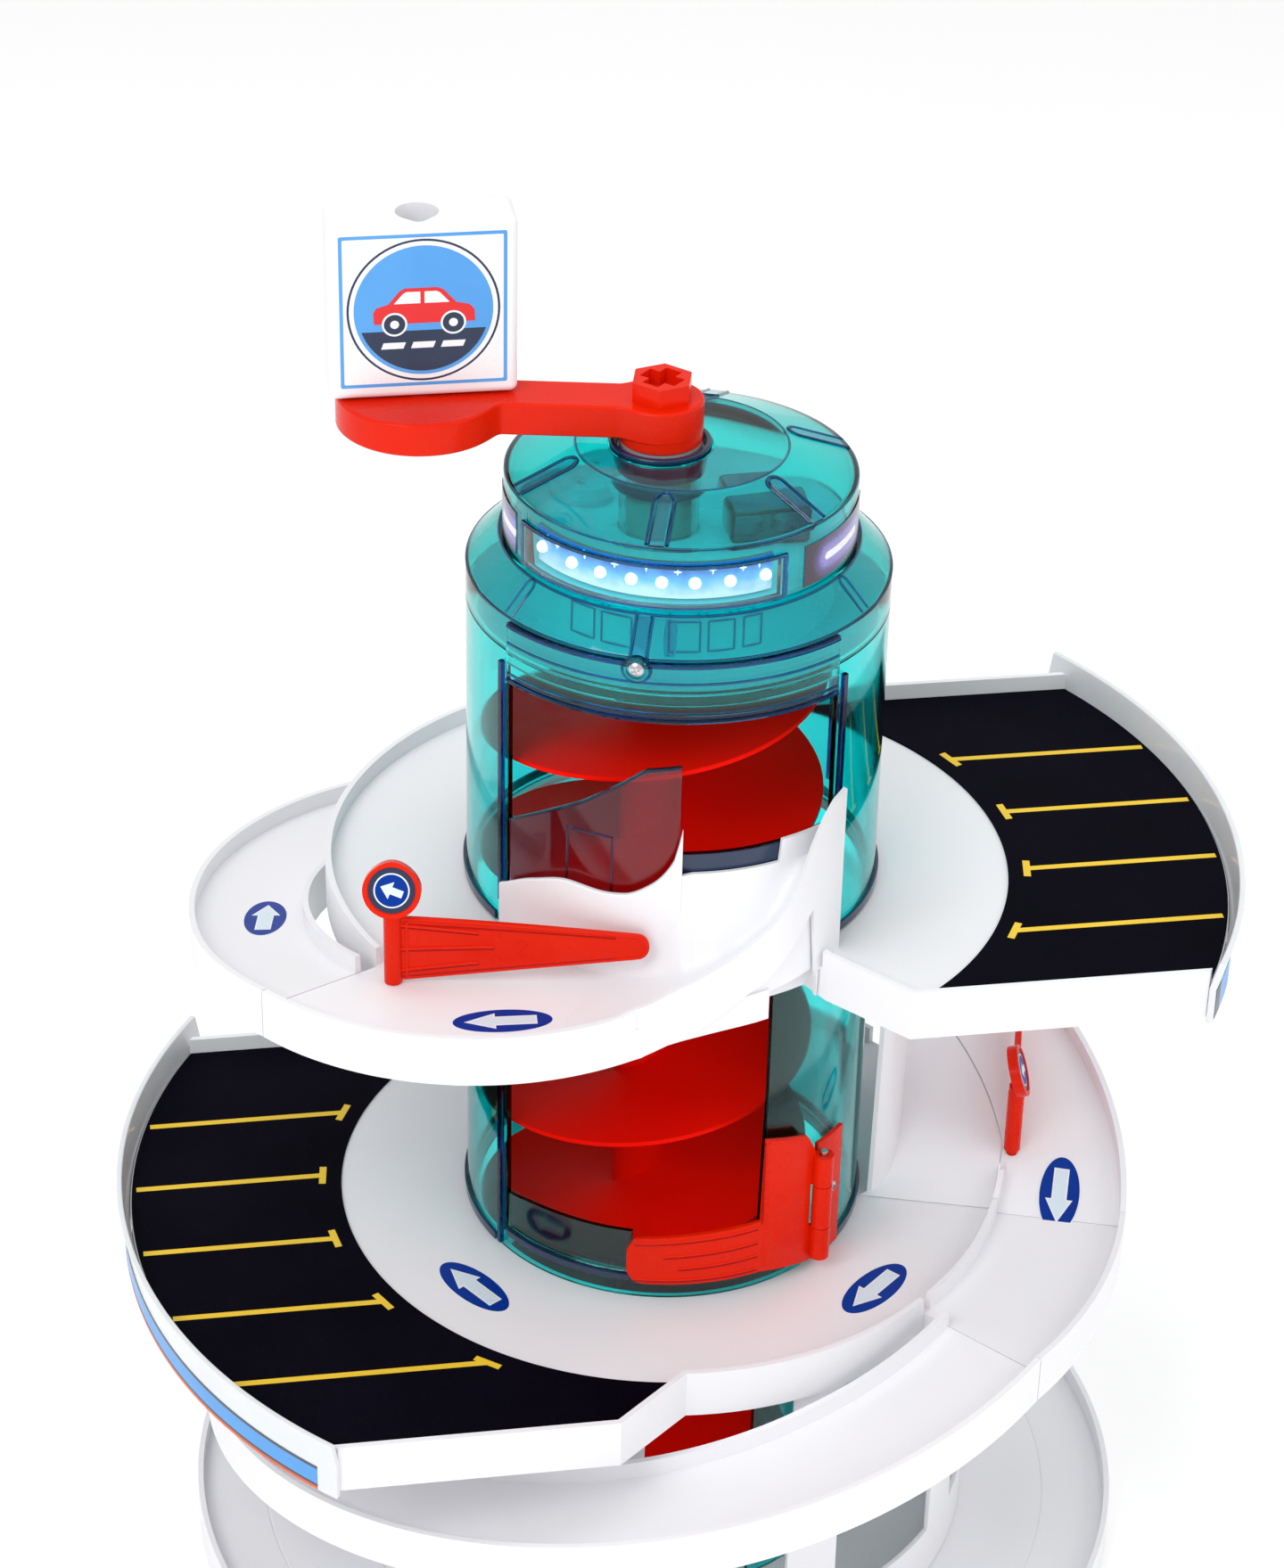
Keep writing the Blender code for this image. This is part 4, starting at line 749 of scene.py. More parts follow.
rail("rail_2", -FRONT_PARK_2 - 0.3, BACK_PARK + 2.2, Z2, "guard_rail_2", [(-31.0, -29.2, -15.0, -1.0, PRINT_GREY), (-29.2, -24.5, -15.0, -1.0, SKY)])
rail("rail_1", 180 - BACK_PARK - 2.2, 180 + FRONT_PARK_1 + 0.3, Z1, "guard_rail_1",
     [(180.0, 225.0, -5.0, -3.6, PRINT_GREY), (180.0, 225.0, -12.6, -5.0, SKY), (180.0, 225.0, -15.4, -14.0, ORANGE), (180.0, 225.0, -14.0, -12.6, PRINT_GREY)])


# ------------------------------------------------------------------ clear tower
OPEN_LEFT, OPEN_RIGHT = -150.3, -70.0


def tube(name, low, high, windows, node):
    made = raw(name, turned(bmesh.new(), [(R_TUBE - T_TUBE, low), (R_TUBE, low), (R_TUBE, high), (R_TUBE - T_TUBE, high)], steps=144))
    for start, end, bottom, top in windows:
        boolean(made, turned(bmesh.new(), [(R_TUBE - 9, bottom), (R_TUBE + 9, bottom), (R_TUBE + 9, top), (R_TUBE - 9, top)],
                             steps=max(4, round((end - start) / 2.0)), start=start, end=end))
    return dress(made, TEAL, "garage", slot="teal_clear", replaces=nodes_named(node), edge=0.25, segs=1)


tube("tower_low", Z_BASE + GAP, Z1 - FLOOR - GAP, [(OPEN_LEFT, OPEN_RIGHT, Z_BASE - 3, Z1 - 12)], "tube_lower")
tube("tower_mid", Z1 + GAP, Z2 - FLOOR - GAP, [(OPEN_LEFT, OPEN_RIGHT, Z1 + 13, Z2 - 12)], "tube_middle")
tube("tower_high", Z2 + GAP, Z_RING, [(OPEN_LEFT, -97.0, Z2 + 13, Z2 + 124), (-97.4, -52.0, Z2 + 57, Z2 + 124)], "tube_upper")

# Flanges along the openings and the long ribs of the half shells.
flange = bmesh.new()
for a, low, high, out in ((OPEN_LEFT - 1.9, Z1 + 3, Z2 - 14.6, 87.4), (OPEN_LEFT - 1.9, Z2 + 13, Z2 + 124, 87.3), (-50.6, Z2 + 56, Z2 + 124, 87.3)):
    band(flange, a - 0.75, a + 0.75, 85.15, out, low, high, step=0.5)
for a in (28.0, 118.0):
    band(flange, a - 0.8, a + 0.8, 85.15, 86.9, Z2 + 10, Z_RING - 4, step=0.5)
    band(flange, a - 0.8, a + 0.8, 85.15, 86.9, Z_BASE + 8, Z1 - 18, step=0.5)
piece("tower_flanges", flange, EDGE_TEAL, slot="teal_clear", edge=0.2, segs=1)
sill = bmesh.new()
band(sill, -149.5, -108.5, 85.1, 86.8, Z1 + 9.5, Z1 + 12.6)
band(sill, -48.0, 205.0, 85.1, 86.4, Z1 + 1.2, Z1 + 5.0)
band(sill, -51.0, 205.0, 85.1, 86.4, Z2 + 1.2, Z2 + 5.0)
piece("tower_feet", sill, NAVY, slot="navy_plastic", edge=0.25)

GUARD_2_TOP = [(-149.5, 53.0), (-136.6, 64.9), (-125.4, 74.7), (-113.0, 87.9), (-107.2, 94.4), (-97.6, 96.5)]
piece("guard_high", panel(bmesh.new(), -149.9, -97.8, 82.7, 84.8, lambda a: Z2 + 13 + GAP, lambda a: Z2 + table(GUARD_2_TOP, a), 1.0),
      SMOKE, slot="teal_clear", replaces=["guard_upper"], edge=0.3, segs=2)
GUARD_1_TOP = [(-149.5, 30.5), (-138.7, 33.0), (-126.0, 34.0), (-108.0, 34.2)]
piece("guard_mid", panel(bmesh.new(), -149.9, -108.0, 82.7, 84.8, lambda a: Z1 + 13 + GAP, lambda a: Z1 + smooth_table(GUARD_1_TOP, a), 1.0),
      TEAL, slot="teal_clear", replaces=["guard_middle"], edge=0.3, segs=2)
bead = bmesh.new()
a0, a1 = -129.0, -116.0
pipe(bead, [(*polar(85.0, a), z) for a, z in ([(a, Z2 + 35) for a in span(a0, a1, 8)] + [(a1, z) for z in (Z2 + 44, Z2 + 53, Z2 + 62)]
                                             + [(a, Z2 + 62) for a in span(a1, a0, 8)][1:] + [(a0, z) for z in (Z2 + 53, Z2 + 44)])], 0.45, 8, closed=True)
pipe(bead, [(*polar(84.9, a), Z2 + table(GUARD_2_TOP, a) - 0.4) for a in span(-149.4, -98.2, 48)], 0.6, 8)
piece("guard_beads", bead, EDGE_TEAL, slot="teal_clear")

SHIELD_TOP = [(-150.0, 24.0), (-138.3, 34.3), (-127.0, 39.9), (-116.9, 38.6), (-112.0, 39.2), (-105.1, 44.7), (-99.5, 55.6), (-97.2, 71.0)]
piece("shield", panel(bmesh.new(), -150.3, -97.2, 87.6, 89.9, lambda a: Z2 - 1.2, lambda a: Z2 + smooth_table(SHIELD_TOP, a), 1.0),
      WHITE, slot="white_plastic", replaces=["slide_shield"], edge=0.7, segs=3)

SLIDE_FLOOR = [(-122.0, -0.5), (-119.0, -0.1), (-116.0, 0.6), (-112.0, 1.6), (-106.0, 3.6), (-101.0, 5.6), (-95.3, 8.4), (-89.5, 12.5), (-84.8, 16.5), (-80.9, 21.0),
               (-75.9, 27.0), (-72.3, 33.0), (-69.5, 39.0), (-67.0, 43.5), (-64.7, 46.5), (-61.1, 48.5), (-51.0, 50.0)]
SLIDE_WALL = [(-121.0, 7.5), (-112.0, 7.6), (-106.0, 9.2), (-101.0, 11.0), (-95.3, 13.5), (-89.5, 17.5), (-84.8, 21.5), (-80.9, 26.0), (-75.9, 32.0),
              (-72.3, 38.5), (-69.5, 46.5), (-67.0, 56.0), (-64.7, 63.5), (-61.1, 71.0), (-57.0, 75.0), (-52.0, 75.6)]
SLIDE_FOOT = [(-104.7, -13.8), (-97.0, -12.0), (-94.5, -10.5), (-90.9, -7.5), (-87.3, -3.5), (-83.5, 0.6), (-80.0, 4.0), (-76.6, 8.0),
              (-74.0, 12.0), (-71.2, 17.0), (-67.5, 25.0), (-65.0, 30.5)]
loops = []
angles = span(-121.5, -105.2, 20) + [-104.85, -104.7] + span(-103.8, -99.4, 6) + [-98.9] + span(-98.0, -71.2, 44) + [-70.9, -70.2]
angles += span(-69.2, -65.0, 7) + [-64.3, -63.4, -62.3, -61.8] + span(-60.6, -52.4, 9)
for angle in angles:
    slant = front_slant(angle)
    r_wall = front_radius(angle) - 0.8 * slant * (1.0 - ease((angle + 106.0) / 2.5))
    r_face = r_wall - (1.6 + 0.4 * ease((angle + 112.0) / 6.0)) * slant
    z_floor, z_top = Z2 + smooth_table(SLIDE_FLOOR, angle), Z2 + smooth_table(SLIDE_WALL, angle)
    z_low = Z2 - 1.1
    if -104.8 < angle < -64.9:
        z_low = Z2 + smooth_table(SLIDE_FOOT, angle)
    elif -64.9 < angle < -62.0:
        z_low = Z2 + table([(-64.3, 19.5), (-62.3, -13.8)], angle)
    z_under = max(z_floor - FLOOR, Z2 - 0.9)
    r_in = smooth_table([(-97.2, 87.8), (-94.5, 86.2)], angle)
    r_foot = r_in + 1.5
    fillet = min(table([(-121.0, 0.05), (-108.0, 4.0), (-101.0, 7.0), (-95.0, 15.0)], angle), r_face - r_foot - 2.0)
    rise = min(0.97 * (Z2 + 49.5 - z_floor), table([(-108.0, fillet), (-95.0, 36.0)], angle)) if angle > -108.0 else fillet
    z_in = z_floor + rise + 0.02 if angle < -99.0 else Z2 + (49.5 if angle < -70.7 else 59.6)
    rows = [(r_in, z_under), (r_in, z_in), (r_foot, z_in)]
    rows += [(r_foot + fillet * (1 - math.cos(math.radians(q))), z_floor + rise * (1 - math.sin(math.radians(q)))) for q in span(0, 90, 12)]
    rows += [(r_face, z_floor), (r_face, z_top), (r_wall, z_top), (r_wall, z_low), (r_face, z_low), (r_face, z_under)]
    loops.append([(*polar(r, angle), h) for r, h in rows])
piece("slide", sweep(bmesh.new(), loops), WHITE, slot="white_plastic", replaces=["exit_slide"], edge=0.5)
loops = []
for angle in span(-95.0, -63.0, 32):
    r, low, high = front_radius(angle) - 4.2 * front_slant(angle), Z2 + table([(-88.0, -8.0), (-76.6, -2.0), (-64.7, -1.0)], angle), Z2 + smooth_table(SLIDE_FLOOR, angle) - 0.8
    loops.append([(*polar(r, angle), low), (*polar(r + 1.6, angle), low), (*polar(r + 1.6, angle), high), (*polar(r, angle), high)])
piece("slide_web", sweep(bmesh.new(), loops), WHITE, slot="white_plastic", edge=0.3)
piece("slide_sill", band(bmesh.new(), -97.0, -52.8, 85.15, 85.75, Z2 + 44.0, Z2 + 57.2), NAVY, slot="navy_plastic")


# ------------------------------------------------------------------ cap
piece("shoulder", turned(bmesh.new(), [(82.4, Z_RING + GAP), (85.0, Z_RING + GAP), (85.0, 483.2), (84.2, 485.3), (71.6, 496.9), (68.0, 496.9), (70.0, 494.3), (82.4, 483.0)], steps=144),
      TEAL_THICK, slot="teal_clear", replaces=["cap_shoulder"], edge=0.3, segs=2)

SCREW_ANGLE, SCREW_Z = -110.0, 482.0
lip = raw("peak", turned(bmesh.new(), [(85.4, 458.3), (87.7, 458.3), (87.7, 484.2), (85.4, 484.2)], steps=72, start=-149.0, end=-54.0))
boolean(lip, rod(bmesh.new(), (*polar(86.3, SCREW_ANGLE), SCREW_Z), (*polar(89.4, SCREW_ANGLE), SCREW_Z), 5.0, 48), "UNION")
boolean(lip, rod(bmesh.new(), (*polar(88.6, SCREW_ANGLE), SCREW_Z), (*polar(92.0, SCREW_ANGLE), SCREW_Z), 3.8, 48))
dress(lip, TEAL, "garage", slot="teal_clear", replaces=["visor"], edge=0.3, segs=2)
beads = bmesh.new()
for z, r in ((459.4, 1.1), (462.4, 0.6), (475.8, 0.6), (483.2, 0.9)):
    pipe(beads, [(*polar(87.6, a), z) for a in span(-148.5, -54.5, 80)], r, 8)
piece("peak_beads", beads, EDGE_TEAL, slot="teal_clear")
screw = raw("peak_screw", turned(bmesh.new(), [(0.0, 0.0), (3.0, 0.0), (3.0, 0.5), (2.2, 1.3), (1.0, 1.6), (0.0, 1.65)], steps=40))
for turn in (20.0, 110.0):
    boolean(screw, block(bmesh.new(), (0.0, 0.0, 1.6), (3.4, 0.7, 1.4), turn))
screw.data.transform(Matrix.Translation(Vector((*polar(88.75, SCREW_ANGLE), SCREW_Z)) * MM)
                     @ Matrix.Rotation(math.radians(SCREW_ANGLE), 4, "Z") @ Matrix.Rotation(math.pi / 2, 4, "Y"))
dress(screw, STEEL, "garage", slot="steel", replaces=["visor_screw"])

# The dome: a clear ring that turns in over the lamps and a sloping top with a
# round opening for the shaft.
steps = 144
loops = []
for angle in span(0.0, 360.0, steps)[:-1]:
    rim = [(70.0, 497.2), (70.0, 523.2), (69.3, 524.8), (43.0, 535.0), (42.0, 535.4)]
    under = [(41.2, 533.0), (67.0, 523.0), (67.6, 522.0), (67.6, 497.2)]
    hole = polar(20.7, angle, SHAFT)
    loops.append([(*polar(r, angle), z) for r, z in rim] + [(*hole, 535.4), (*hole, 533.0)] + [(*polar(r, angle), z) for r, z in under])
dome = raw("dome", sweep(bmesh.new(), loops, closed=True))
boolean(dome, turned(bmesh.new(), [(66.0, 500.2), (72.0, 500.2), (72.0, 516.4), (66.0, 516.4)], steps=60, start=-157.4, end=-66.6))
dress(dome, TEAL_THICK, "garage", slot="teal_clear", replaces=["lamp_housing"], edge=0.3, segs=2)
ring = bmesh.new()
pipe(ring, [(*polar(42.0, a), 535.0) for a in span(0, 360, 96)[:-1]], 0.5, 8, closed=True)
pipe(ring, [(*polar(69.5, a), 524.2) for a in span(0, 360, 144)[:-1]], 0.45, 8, closed=True)
pipe(ring, [(*polar(71.9, a), 496.8) for a in span(0, 360, 144)[:-1]], 0.6, 8, closed=True)
pipe(ring, [(*polar(84.6, a), 484.4) for a in span(0, 360, 144)[:-1]], 0.55, 8, closed=True)


def slope_z(r):
    return 535.4 + (524.6 - 535.4) * (r - 42.0) / 27.6


for a in (-107.5, -50.0, 8.5, 68.0, 128.0, 192.0):
    # A raised loop with a round inner end, as long as the slope.
    loop = [(44.0 + 24.5 * t, 3.9) for t in span(1.0, 0.14, 10)] + [(44.0 + 3.9 - 3.9 * math.cos(math.radians(q)), 3.9 * math.sin(math.radians(q)))
                                                                 for q in (75, 50, 25, 0, -25, -50, -75)] + [(44.0 + 24.5 * t, -3.9) for t in span(0.14, 1.0, 10)]
    c, s = math.cos(math.radians(a)), math.sin(math.radians(a))
    pipe(ring, [(r * c - w * s, r * s + w * c, slope_z(math.hypot(r, w)) + 0.2) for r, w in loop], 0.75, 8)
piece("dome_beads", ring, EDGE_TEAL, slot="teal_clear")
bodies = bmesh.new()
for a in (-107.5, -50.0, 8.5, 68.0, 128.0, 192.0):
    c, s = math.cos(math.radians(a)), math.sin(math.radians(a))
    stations = []
    for r in span(45.2, 69.0, 12):
        w = 3.2 * math.sqrt(max(0.1, 1.0 - max(0.0, (48.0 - r) / 3.2) ** 2))
        z = slope_z(r) - 0.3
        stations.append([(r * c - v * s, r * s + v * c, z + h) for v, h in ((-w, 0.0), (w, 0.0), (w * 0.8, 0.75), (-w * 0.8, 0.75))])
    sweep(bodies, stations)
piece("dome_channels", bodies, CHANNEL_TEAL, slot="teal_clear")

# Steps and lugs on the shoulder.
lugs = bmesh.new()
for a in (-40.0, -151.0, 30.0, 100.0):
    c, s = math.cos(math.radians(a)), math.sin(math.radians(a))
    path = [(84.0, 2.2), (74.0, 2.2), (72.6, 1.2), (72.2, 0.0), (72.6, -1.2), (74.0, -2.2), (84.0, -2.2)]
    pipe(lugs, [(r * c - w * s, r * s + w * c, 497.0 + (484.6 - 497.0) * (r - 71.6) / 12.6 + 0.4) for r, w in path], 0.55, 8)
piece("shoulder_beads", lugs, EDGE_TEAL, slot="teal_clear")

# Channel down to the screw, with a round foot.
channel = bmesh.new()
a = SCREW_ANGLE
path = ([(72.5, 3.2, 496.6), (78.0, 3.2, 491.4), (84.6, 3.3, 485.4), (87.6, 4.6, 483.0)]
        + [(88.2, 5.6 * math.cos(math.radians(q)), SCREW_Z + 5.6 * math.sin(math.radians(q))) for q in range(15, -196, -15)]
        + [(87.6, -4.6, 483.0), (84.6, -3.3, 485.4), (78.0, -3.2, 491.4), (72.5, -3.2, 496.6)])
c, s = math.cos(math.radians(a)), math.sin(math.radians(a))
pipe(channel, [(r * c - w * s, r * s + w * c, z) for r, w, z in path], 0.65, 8)
piece("screw_channel", channel, EDGE_TEAL, slot="teal_clear")
stations = []
for r, z in ((72.6, 496.4), (78.0, 491.2), (84.4, 485.4), (87.4, 483.2), (88.3, 478.6)):
    stations.append([(r * c - w * s, r * s + w * c, z + h) for w, h in ((-2.7, -0.6), (2.7, -0.6), (2.3, 0.9), (-2.3, 0.9))])
piece("screw_channel_body", sweep(bmesh.new(), stations), CHANNEL_TEAL, slot="teal_clear")
pocket = bmesh.new()
c, s = math.cos(math.radians(SCREW_ANGLE + 8.0)), math.sin(math.radians(SCREW_ANGLE + 8.0))
stations = []
for r, z in ((73.2, 495.8), (76.0, 493.1), (80.0, 489.4), (83.6, 486.1)):
    w0 = 1.9 if r in (73.2, 83.6) else 2.6
    stations.append([(r * c - w * s, r * s + w * c, z + h) for w, h in ((-w0, -0.6), (w0, -0.6), (w0 * 0.8, 0.7), (-w0 * 0.8, 0.7))])
piece("screw_pocket", sweep(pocket, stations), CHANNEL_TEAL, slot="teal_clear")

loops = []
for angle in span(0.0, 360.0, 120)[:-1]:
    hole = polar(16.2, angle, SHAFT)
    loops.append([(*polar(67.2, angle), 497.3), (*polar(67.2, angle), 499.5), (*hole, 499.5), (*hole, 497.3)])
piece("plate", sweep(bmesh.new(), loops, closed=True), SOLID_TEAL_PAINTED_GLOW, slot="teal_clear", replaces=["bearing_plate"], edge=0.2, segs=1)
loops = []
for angle in span(0.0, 360.0, 120)[:-1]:
    hole = polar(14.4, angle, SHAFT)
    loops.append([(*polar(81.6, angle), 470.3), (*polar(81.6, angle), 471.3), (*polar(62.0, angle), 471.3), (*polar(62.0, angle), 497.25),
                  (*polar(60.5, angle), 497.25), (*polar(60.5, angle), 471.3), (*hole, 471.3), (*hole, 470.3)])
piece("plate_drum", sweep(bmesh.new(), loops, closed=True), SOLID_TEAL_PAINTED_GLOW, slot="teal_clear", edge=0.2, segs=1)
panes = bmesh.new()
for first_a, last_a in ((-141.0, -131.0), (-128.0, -116.5), (-103.0, -92.0), (-89.0, -79.5), (-76.0, -69.0)):
    pipe(panes, [(*polar(62.1, a), z) for a, z in ([(a, 476.0) for a in span(first_a, last_a, 6)] + [(a, 488.5) for a in span(last_a, first_a, 6)])], 0.45, 8, closed=True)
piece("plate_panes", panes, EDGE_TEAL, slot="teal_clear")

# Flared dark collar, with a clear sleeve below it.
piece("collar", turned(bmesh.new(), [(13.6, 519.0), (17.8, 519.0), (18.3, 520.0), (18.6, 529.0), (20.2, 532.5), (20.2, 536.8), (19.6, 537.4), (18.2, 537.4), (17.7, 536.6),
                                     (17.4, 534.2), (13.6, 534.0)], steps=96, centre=SHAFT), NAVY, slot="navy_plastic", replaces=["collar_bush"], edge=0.2, segs=1)
piece("sleeve", turned(bmesh.new(), [(13.7, 499.8), (15.7, 499.8), (15.7, 518.8), (13.7, 518.8)], steps=96, centre=SHAFT), TEAL, slot="teal_clear", edge=0.2, segs=1)

# ------------------------------------------------------------------ lamps
LAMP_LOW, LAMP_HIGH = -158.0, -66.0
BULBS = (-154.2, -139.2, -127.6, -116.3, -105.8, -94.6, -82.5, -69.5)
piece("lamp_window", band(bmesh.new(), LAMP_LOW, LAMP_HIGH, 70.3, 71.4, 499.7, 516.9), LENS, slot="lens_clear", replaces=["lens_strip"], edge=0.3, segs=2)
board = raw("lamp_board", band(bmesh.new(), LAMP_LOW, LAMP_HIGH, 62.0, 63.4, 500.5, 516.0))
dress(board, TAN, "garage", slot="board_tan", replaces=["led_board"], edge=0.2)
piece("lamp_reflector", band(bmesh.new(), LAMP_LOW + 0.6, LAMP_HIGH - 0.6, 63.6, 64.4, 500.6, 516.2), REFLECTOR, slot="lamp_white", replaces=["led_strip"], edge=0.15, segs=1)
bulbs = bmesh.new()
for angle in BULBS:
    for low, high, r0, r1 in ((64.3, 65.4, 2.3, 2.3), (65.4, 66.6, 2.3, 1.6), (66.6, 67.1, 1.6, 0.6)):
        rod(bulbs, (*polar(low, angle), 507.6), (*polar(high, angle), 507.6), r0, 20, r1)
piece("lamp_bulbs", bulbs, BULB, slot="lamp_white")
glints = bmesh.new()
for angle, h, size in ((-151.0, 512.9, 1.7), (-146.5, 511.6, 1.2), (-134.0, 513.2, 2.2), (-122.4, 512.4, 1.6), (-111.2, 513.4, 2.0), (-100.5, 512.2, 1.5),
                       (-88.6, 513.1, 2.2), (-78.0, 512.4, 1.4), (-72.0, 513.0, 1.9)):
    out, aside = Vector((*polar(1.0, angle), 0.0)), Vector((*polar(1.0, angle + 90.0), 0.0))
    star = [(size * (1.0 if k % 2 == 0 else 0.22)) for k in range(8)]
    points = [aside * star[k] * math.cos(math.radians(45 * k)) + Vector((0, 0, star[k] * math.sin(math.radians(45 * k)))) for k in range(8)]
    sweep(glints, [[out * r + p + Vector((0, 0, h)) for p in points] for r in (64.5, 64.8)])
piece("lamp_glints", glints, GLINT, slot="lamp_white")
frame_bm = bmesh.new()
for z0, z1 in ((498.9, 500.3), (516.4, 517.8)):
    band(frame_bm, LAMP_LOW - 1.6, LAMP_HIGH + 1.6, 70.15, 71.2, z0, z1)
for a0, a1 in ((LAMP_LOW - 1.8, LAMP_LOW - 0.4), (LAMP_HIGH + 0.4, LAMP_HIGH + 1.8)):
    band(frame_bm, a0, a1, 70.15, 71.2, 500.4, 516.3, step=0.7)
piece("lamp_frame", frame_bm, EDGE_TEAL, slot="teal_clear")


def night_print():
    """A dark speckled label with a violet halo round a pale rounded bar."""
    m, nt, p = start("cap_label")
    at = coords(nt)
    mapping = nt.nodes.new("ShaderNodeMapping")
    mapping.inputs["Location"].default_value = (0.0, 0.0, -0.5085)
    nt.links.new(at, mapping.inputs["Vector"])
    xyz = nt.nodes.new("ShaderNodeSeparateXYZ")
    nt.links.new(mapping.outputs["Vector"], xyz.inputs[0])
    turn = nt.nodes.new("ShaderNodeMath")
    turn.operation = "ARCTAN2"
    nt.links.new(xyz.outputs["Y"], turn.inputs[0])
    nt.links.new(xyz.outputs["X"], turn.inputs[1])
    away = []
    for middle in (-0.62, -3.02):
        d = nt.nodes.new("ShaderNodeMath")
        d.operation = "SUBTRACT"
        d.inputs[1].default_value = middle
        nt.links.new(turn.outputs[0], d.inputs[0])
        e = nt.nodes.new("ShaderNodeMath")
        e.operation = "ABSOLUTE"
        nt.links.new(d.outputs[0], e.inputs[0])
        f = nt.nodes.new("ShaderNodeMath")
        f.operation = "MULTIPLY_ADD"
        f.inputs[1].default_value, f.inputs[2].default_value = 0.070, -0.0125
        nt.links.new(e.outputs[0], f.inputs[0])
        g = nt.nodes.new("ShaderNodeMath")
        g.operation = "MAXIMUM"
        g.inputs[1].default_value = 0.0
        nt.links.new(f.outputs[0], g.inputs[0])
        away.append(g)
    near = nt.nodes.new("ShaderNodeMath")
    near.operation = "MINIMUM"
    nt.links.new(away[0].outputs[0], near.inputs[0])
    nt.links.new(away[1].outputs[0], near.inputs[1])
    both = nt.nodes.new("ShaderNodeCombineXYZ")
    nt.links.new(near.outputs[0], both.inputs["X"])
    nt.links.new(xyz.outputs["Z"], both.inputs["Y"])
    size = nt.nodes.new("ShaderNodeVectorMath")
    size.operation = "LENGTH"
    nt.links.new(both.outputs[0], size.inputs[0])
    ramp = nt.nodes.new("ShaderNodeValToRGB")
    scale = nt.nodes.new("ShaderNodeMath")
    scale.operation = "MULTIPLY"
    scale.inputs[1].default_value = 100.0
    nt.links.new(size.outputs["Value"], scale.inputs[0])
    nt.links.new(scale.outputs[0], ramp.inputs["Fac"])
    e = ramp.color_ramp.elements
    e[0].position, e[0].color = 0.0, (0.95, 0.95, 1.0, 1.0)
    e[1].position, e[1].color = 0.95, (0.035, 0.02, 0.045, 1.0)
    for at_pos, colour in ((0.14, (0.90, 0.90, 1.0)), (0.19, (0.30, 0.26, 0.62)), (0.42, (0.24, 0.20, 0.60)), (0.62, (0.10, 0.07, 0.24))):
        e.new(at_pos).color = (*colour, 1.0)
    speck = nt.nodes.new("ShaderNodeMix")
    speck.data_type = "RGBA"
    speck.blend_type = "MULTIPLY"
    speck.inputs["Factor"].default_value = 0.45
    nt.links.new(ramp.outputs["Color"], speck.inputs["A"])
    fine = spread(nt, noise(nt, at, 1200.0, 3.0, 0.8), 0.35, 1.5)
    grey = nt.nodes.new("ShaderNodeCombineColor")
    for k in ("Red", "Green", "Blue"):
        nt.links.new(fine, grey.inputs[k])
    nt.links.new(grey.outputs[0], speck.inputs["B"])
    nt.links.new(speck.outputs["Result"], p.inputs["Base Color"])
    p.inputs["Roughness"].default_value = 0.25
    p.inputs["Coat Weight"].default_value = 0.3
    bumps(nt, p, at, ((900.0, 0.05),))
    return m


LABEL = night_print()
labels = bmesh.new()
band(labels, -57.0, -12.0, 70.15, 70.45, 499.6, 517.4)
band(labels, -190.0, -165.0, 70.15, 70.45, 499.6, 517.4)
piece("cap_labels", labels, LABEL, slot="white_plastic")


# ------------------------------------------------------------------ spiral lift and crank
lift = raw("lift", turned(bmesh.new(), [(R_BORE, Z_BASE + 0.8), (R_COLUMN, Z_BASE + 0.8), (R_COLUMN, 489.0), (0.0, 489.0), (0.0, 484.0), (R_BORE, 484.0)],
                          steps=96, centre=SHAFT))
first, last = (Z_BASE + 4.0 - SPIRAL_ZERO) / PITCH * 360.0, (469.0 - SPIRAL_ZERO) / PITCH * 360.0
loops = []
for angle in span(first, last, round((last - first) / 5.0)):
    z = SPIRAL_ZERO + PITCH * angle / 360.0
    loops.append([(*polar(11.8, angle, SHAFT), z - T_BLADE), (*polar(R_SPIRAL, angle, SHAFT), z - T_BLADE),
                  (*polar(R_SPIRAL, angle, SHAFT), z), (*polar(11.8, angle, SHAFT), z)])
boolean(lift, sweep(bmesh.new(), loops), "UNION")
dress(lift, RED_LIFT_PAINTED_GLOW, "crank", slot="red_plastic", replaces=nodes_named("spiral_lift"), edge=0.3)

piece("shaft", turned(bmesh.new(), [(0.0, 489.3), (12.8, 489.3), (12.8, 533.8), (16.2, 534.6), (16.2, 537.2), (8.6, 537.5), (8.6, 548.5), (0.0, 548.5)], steps=96, centre=SHAFT),
      SHAFT_GREY, "crank", slot="red_plastic", replaces=["crank_shaft"], edge=0.2)

ARM_LOW, ARM_TOP = 541.9, 555.4
R_HUB, R_END, HALF_ARM = 16.7, 32.6, 11.0
length = math.hypot(CRANK_END[0] - SHAFT[0], CRANK_END[1] - SHAFT[1])
along = Vector(((SHAFT[0] - CRANK_END[0]) / length, (SHAFT[1] - CRANK_END[1]) / length))
across = Vector((-along.y, along.x))


def arm_half(s):
    parts = [HALF_ARM, math.sqrt(max(0.0, R_END ** 2 - s * s)), math.sqrt(max(0.0, R_HUB ** 2 - (s - length) ** 2))]
    return 2.6 * math.log(sum(math.exp(w / 2.6) for w in parts))


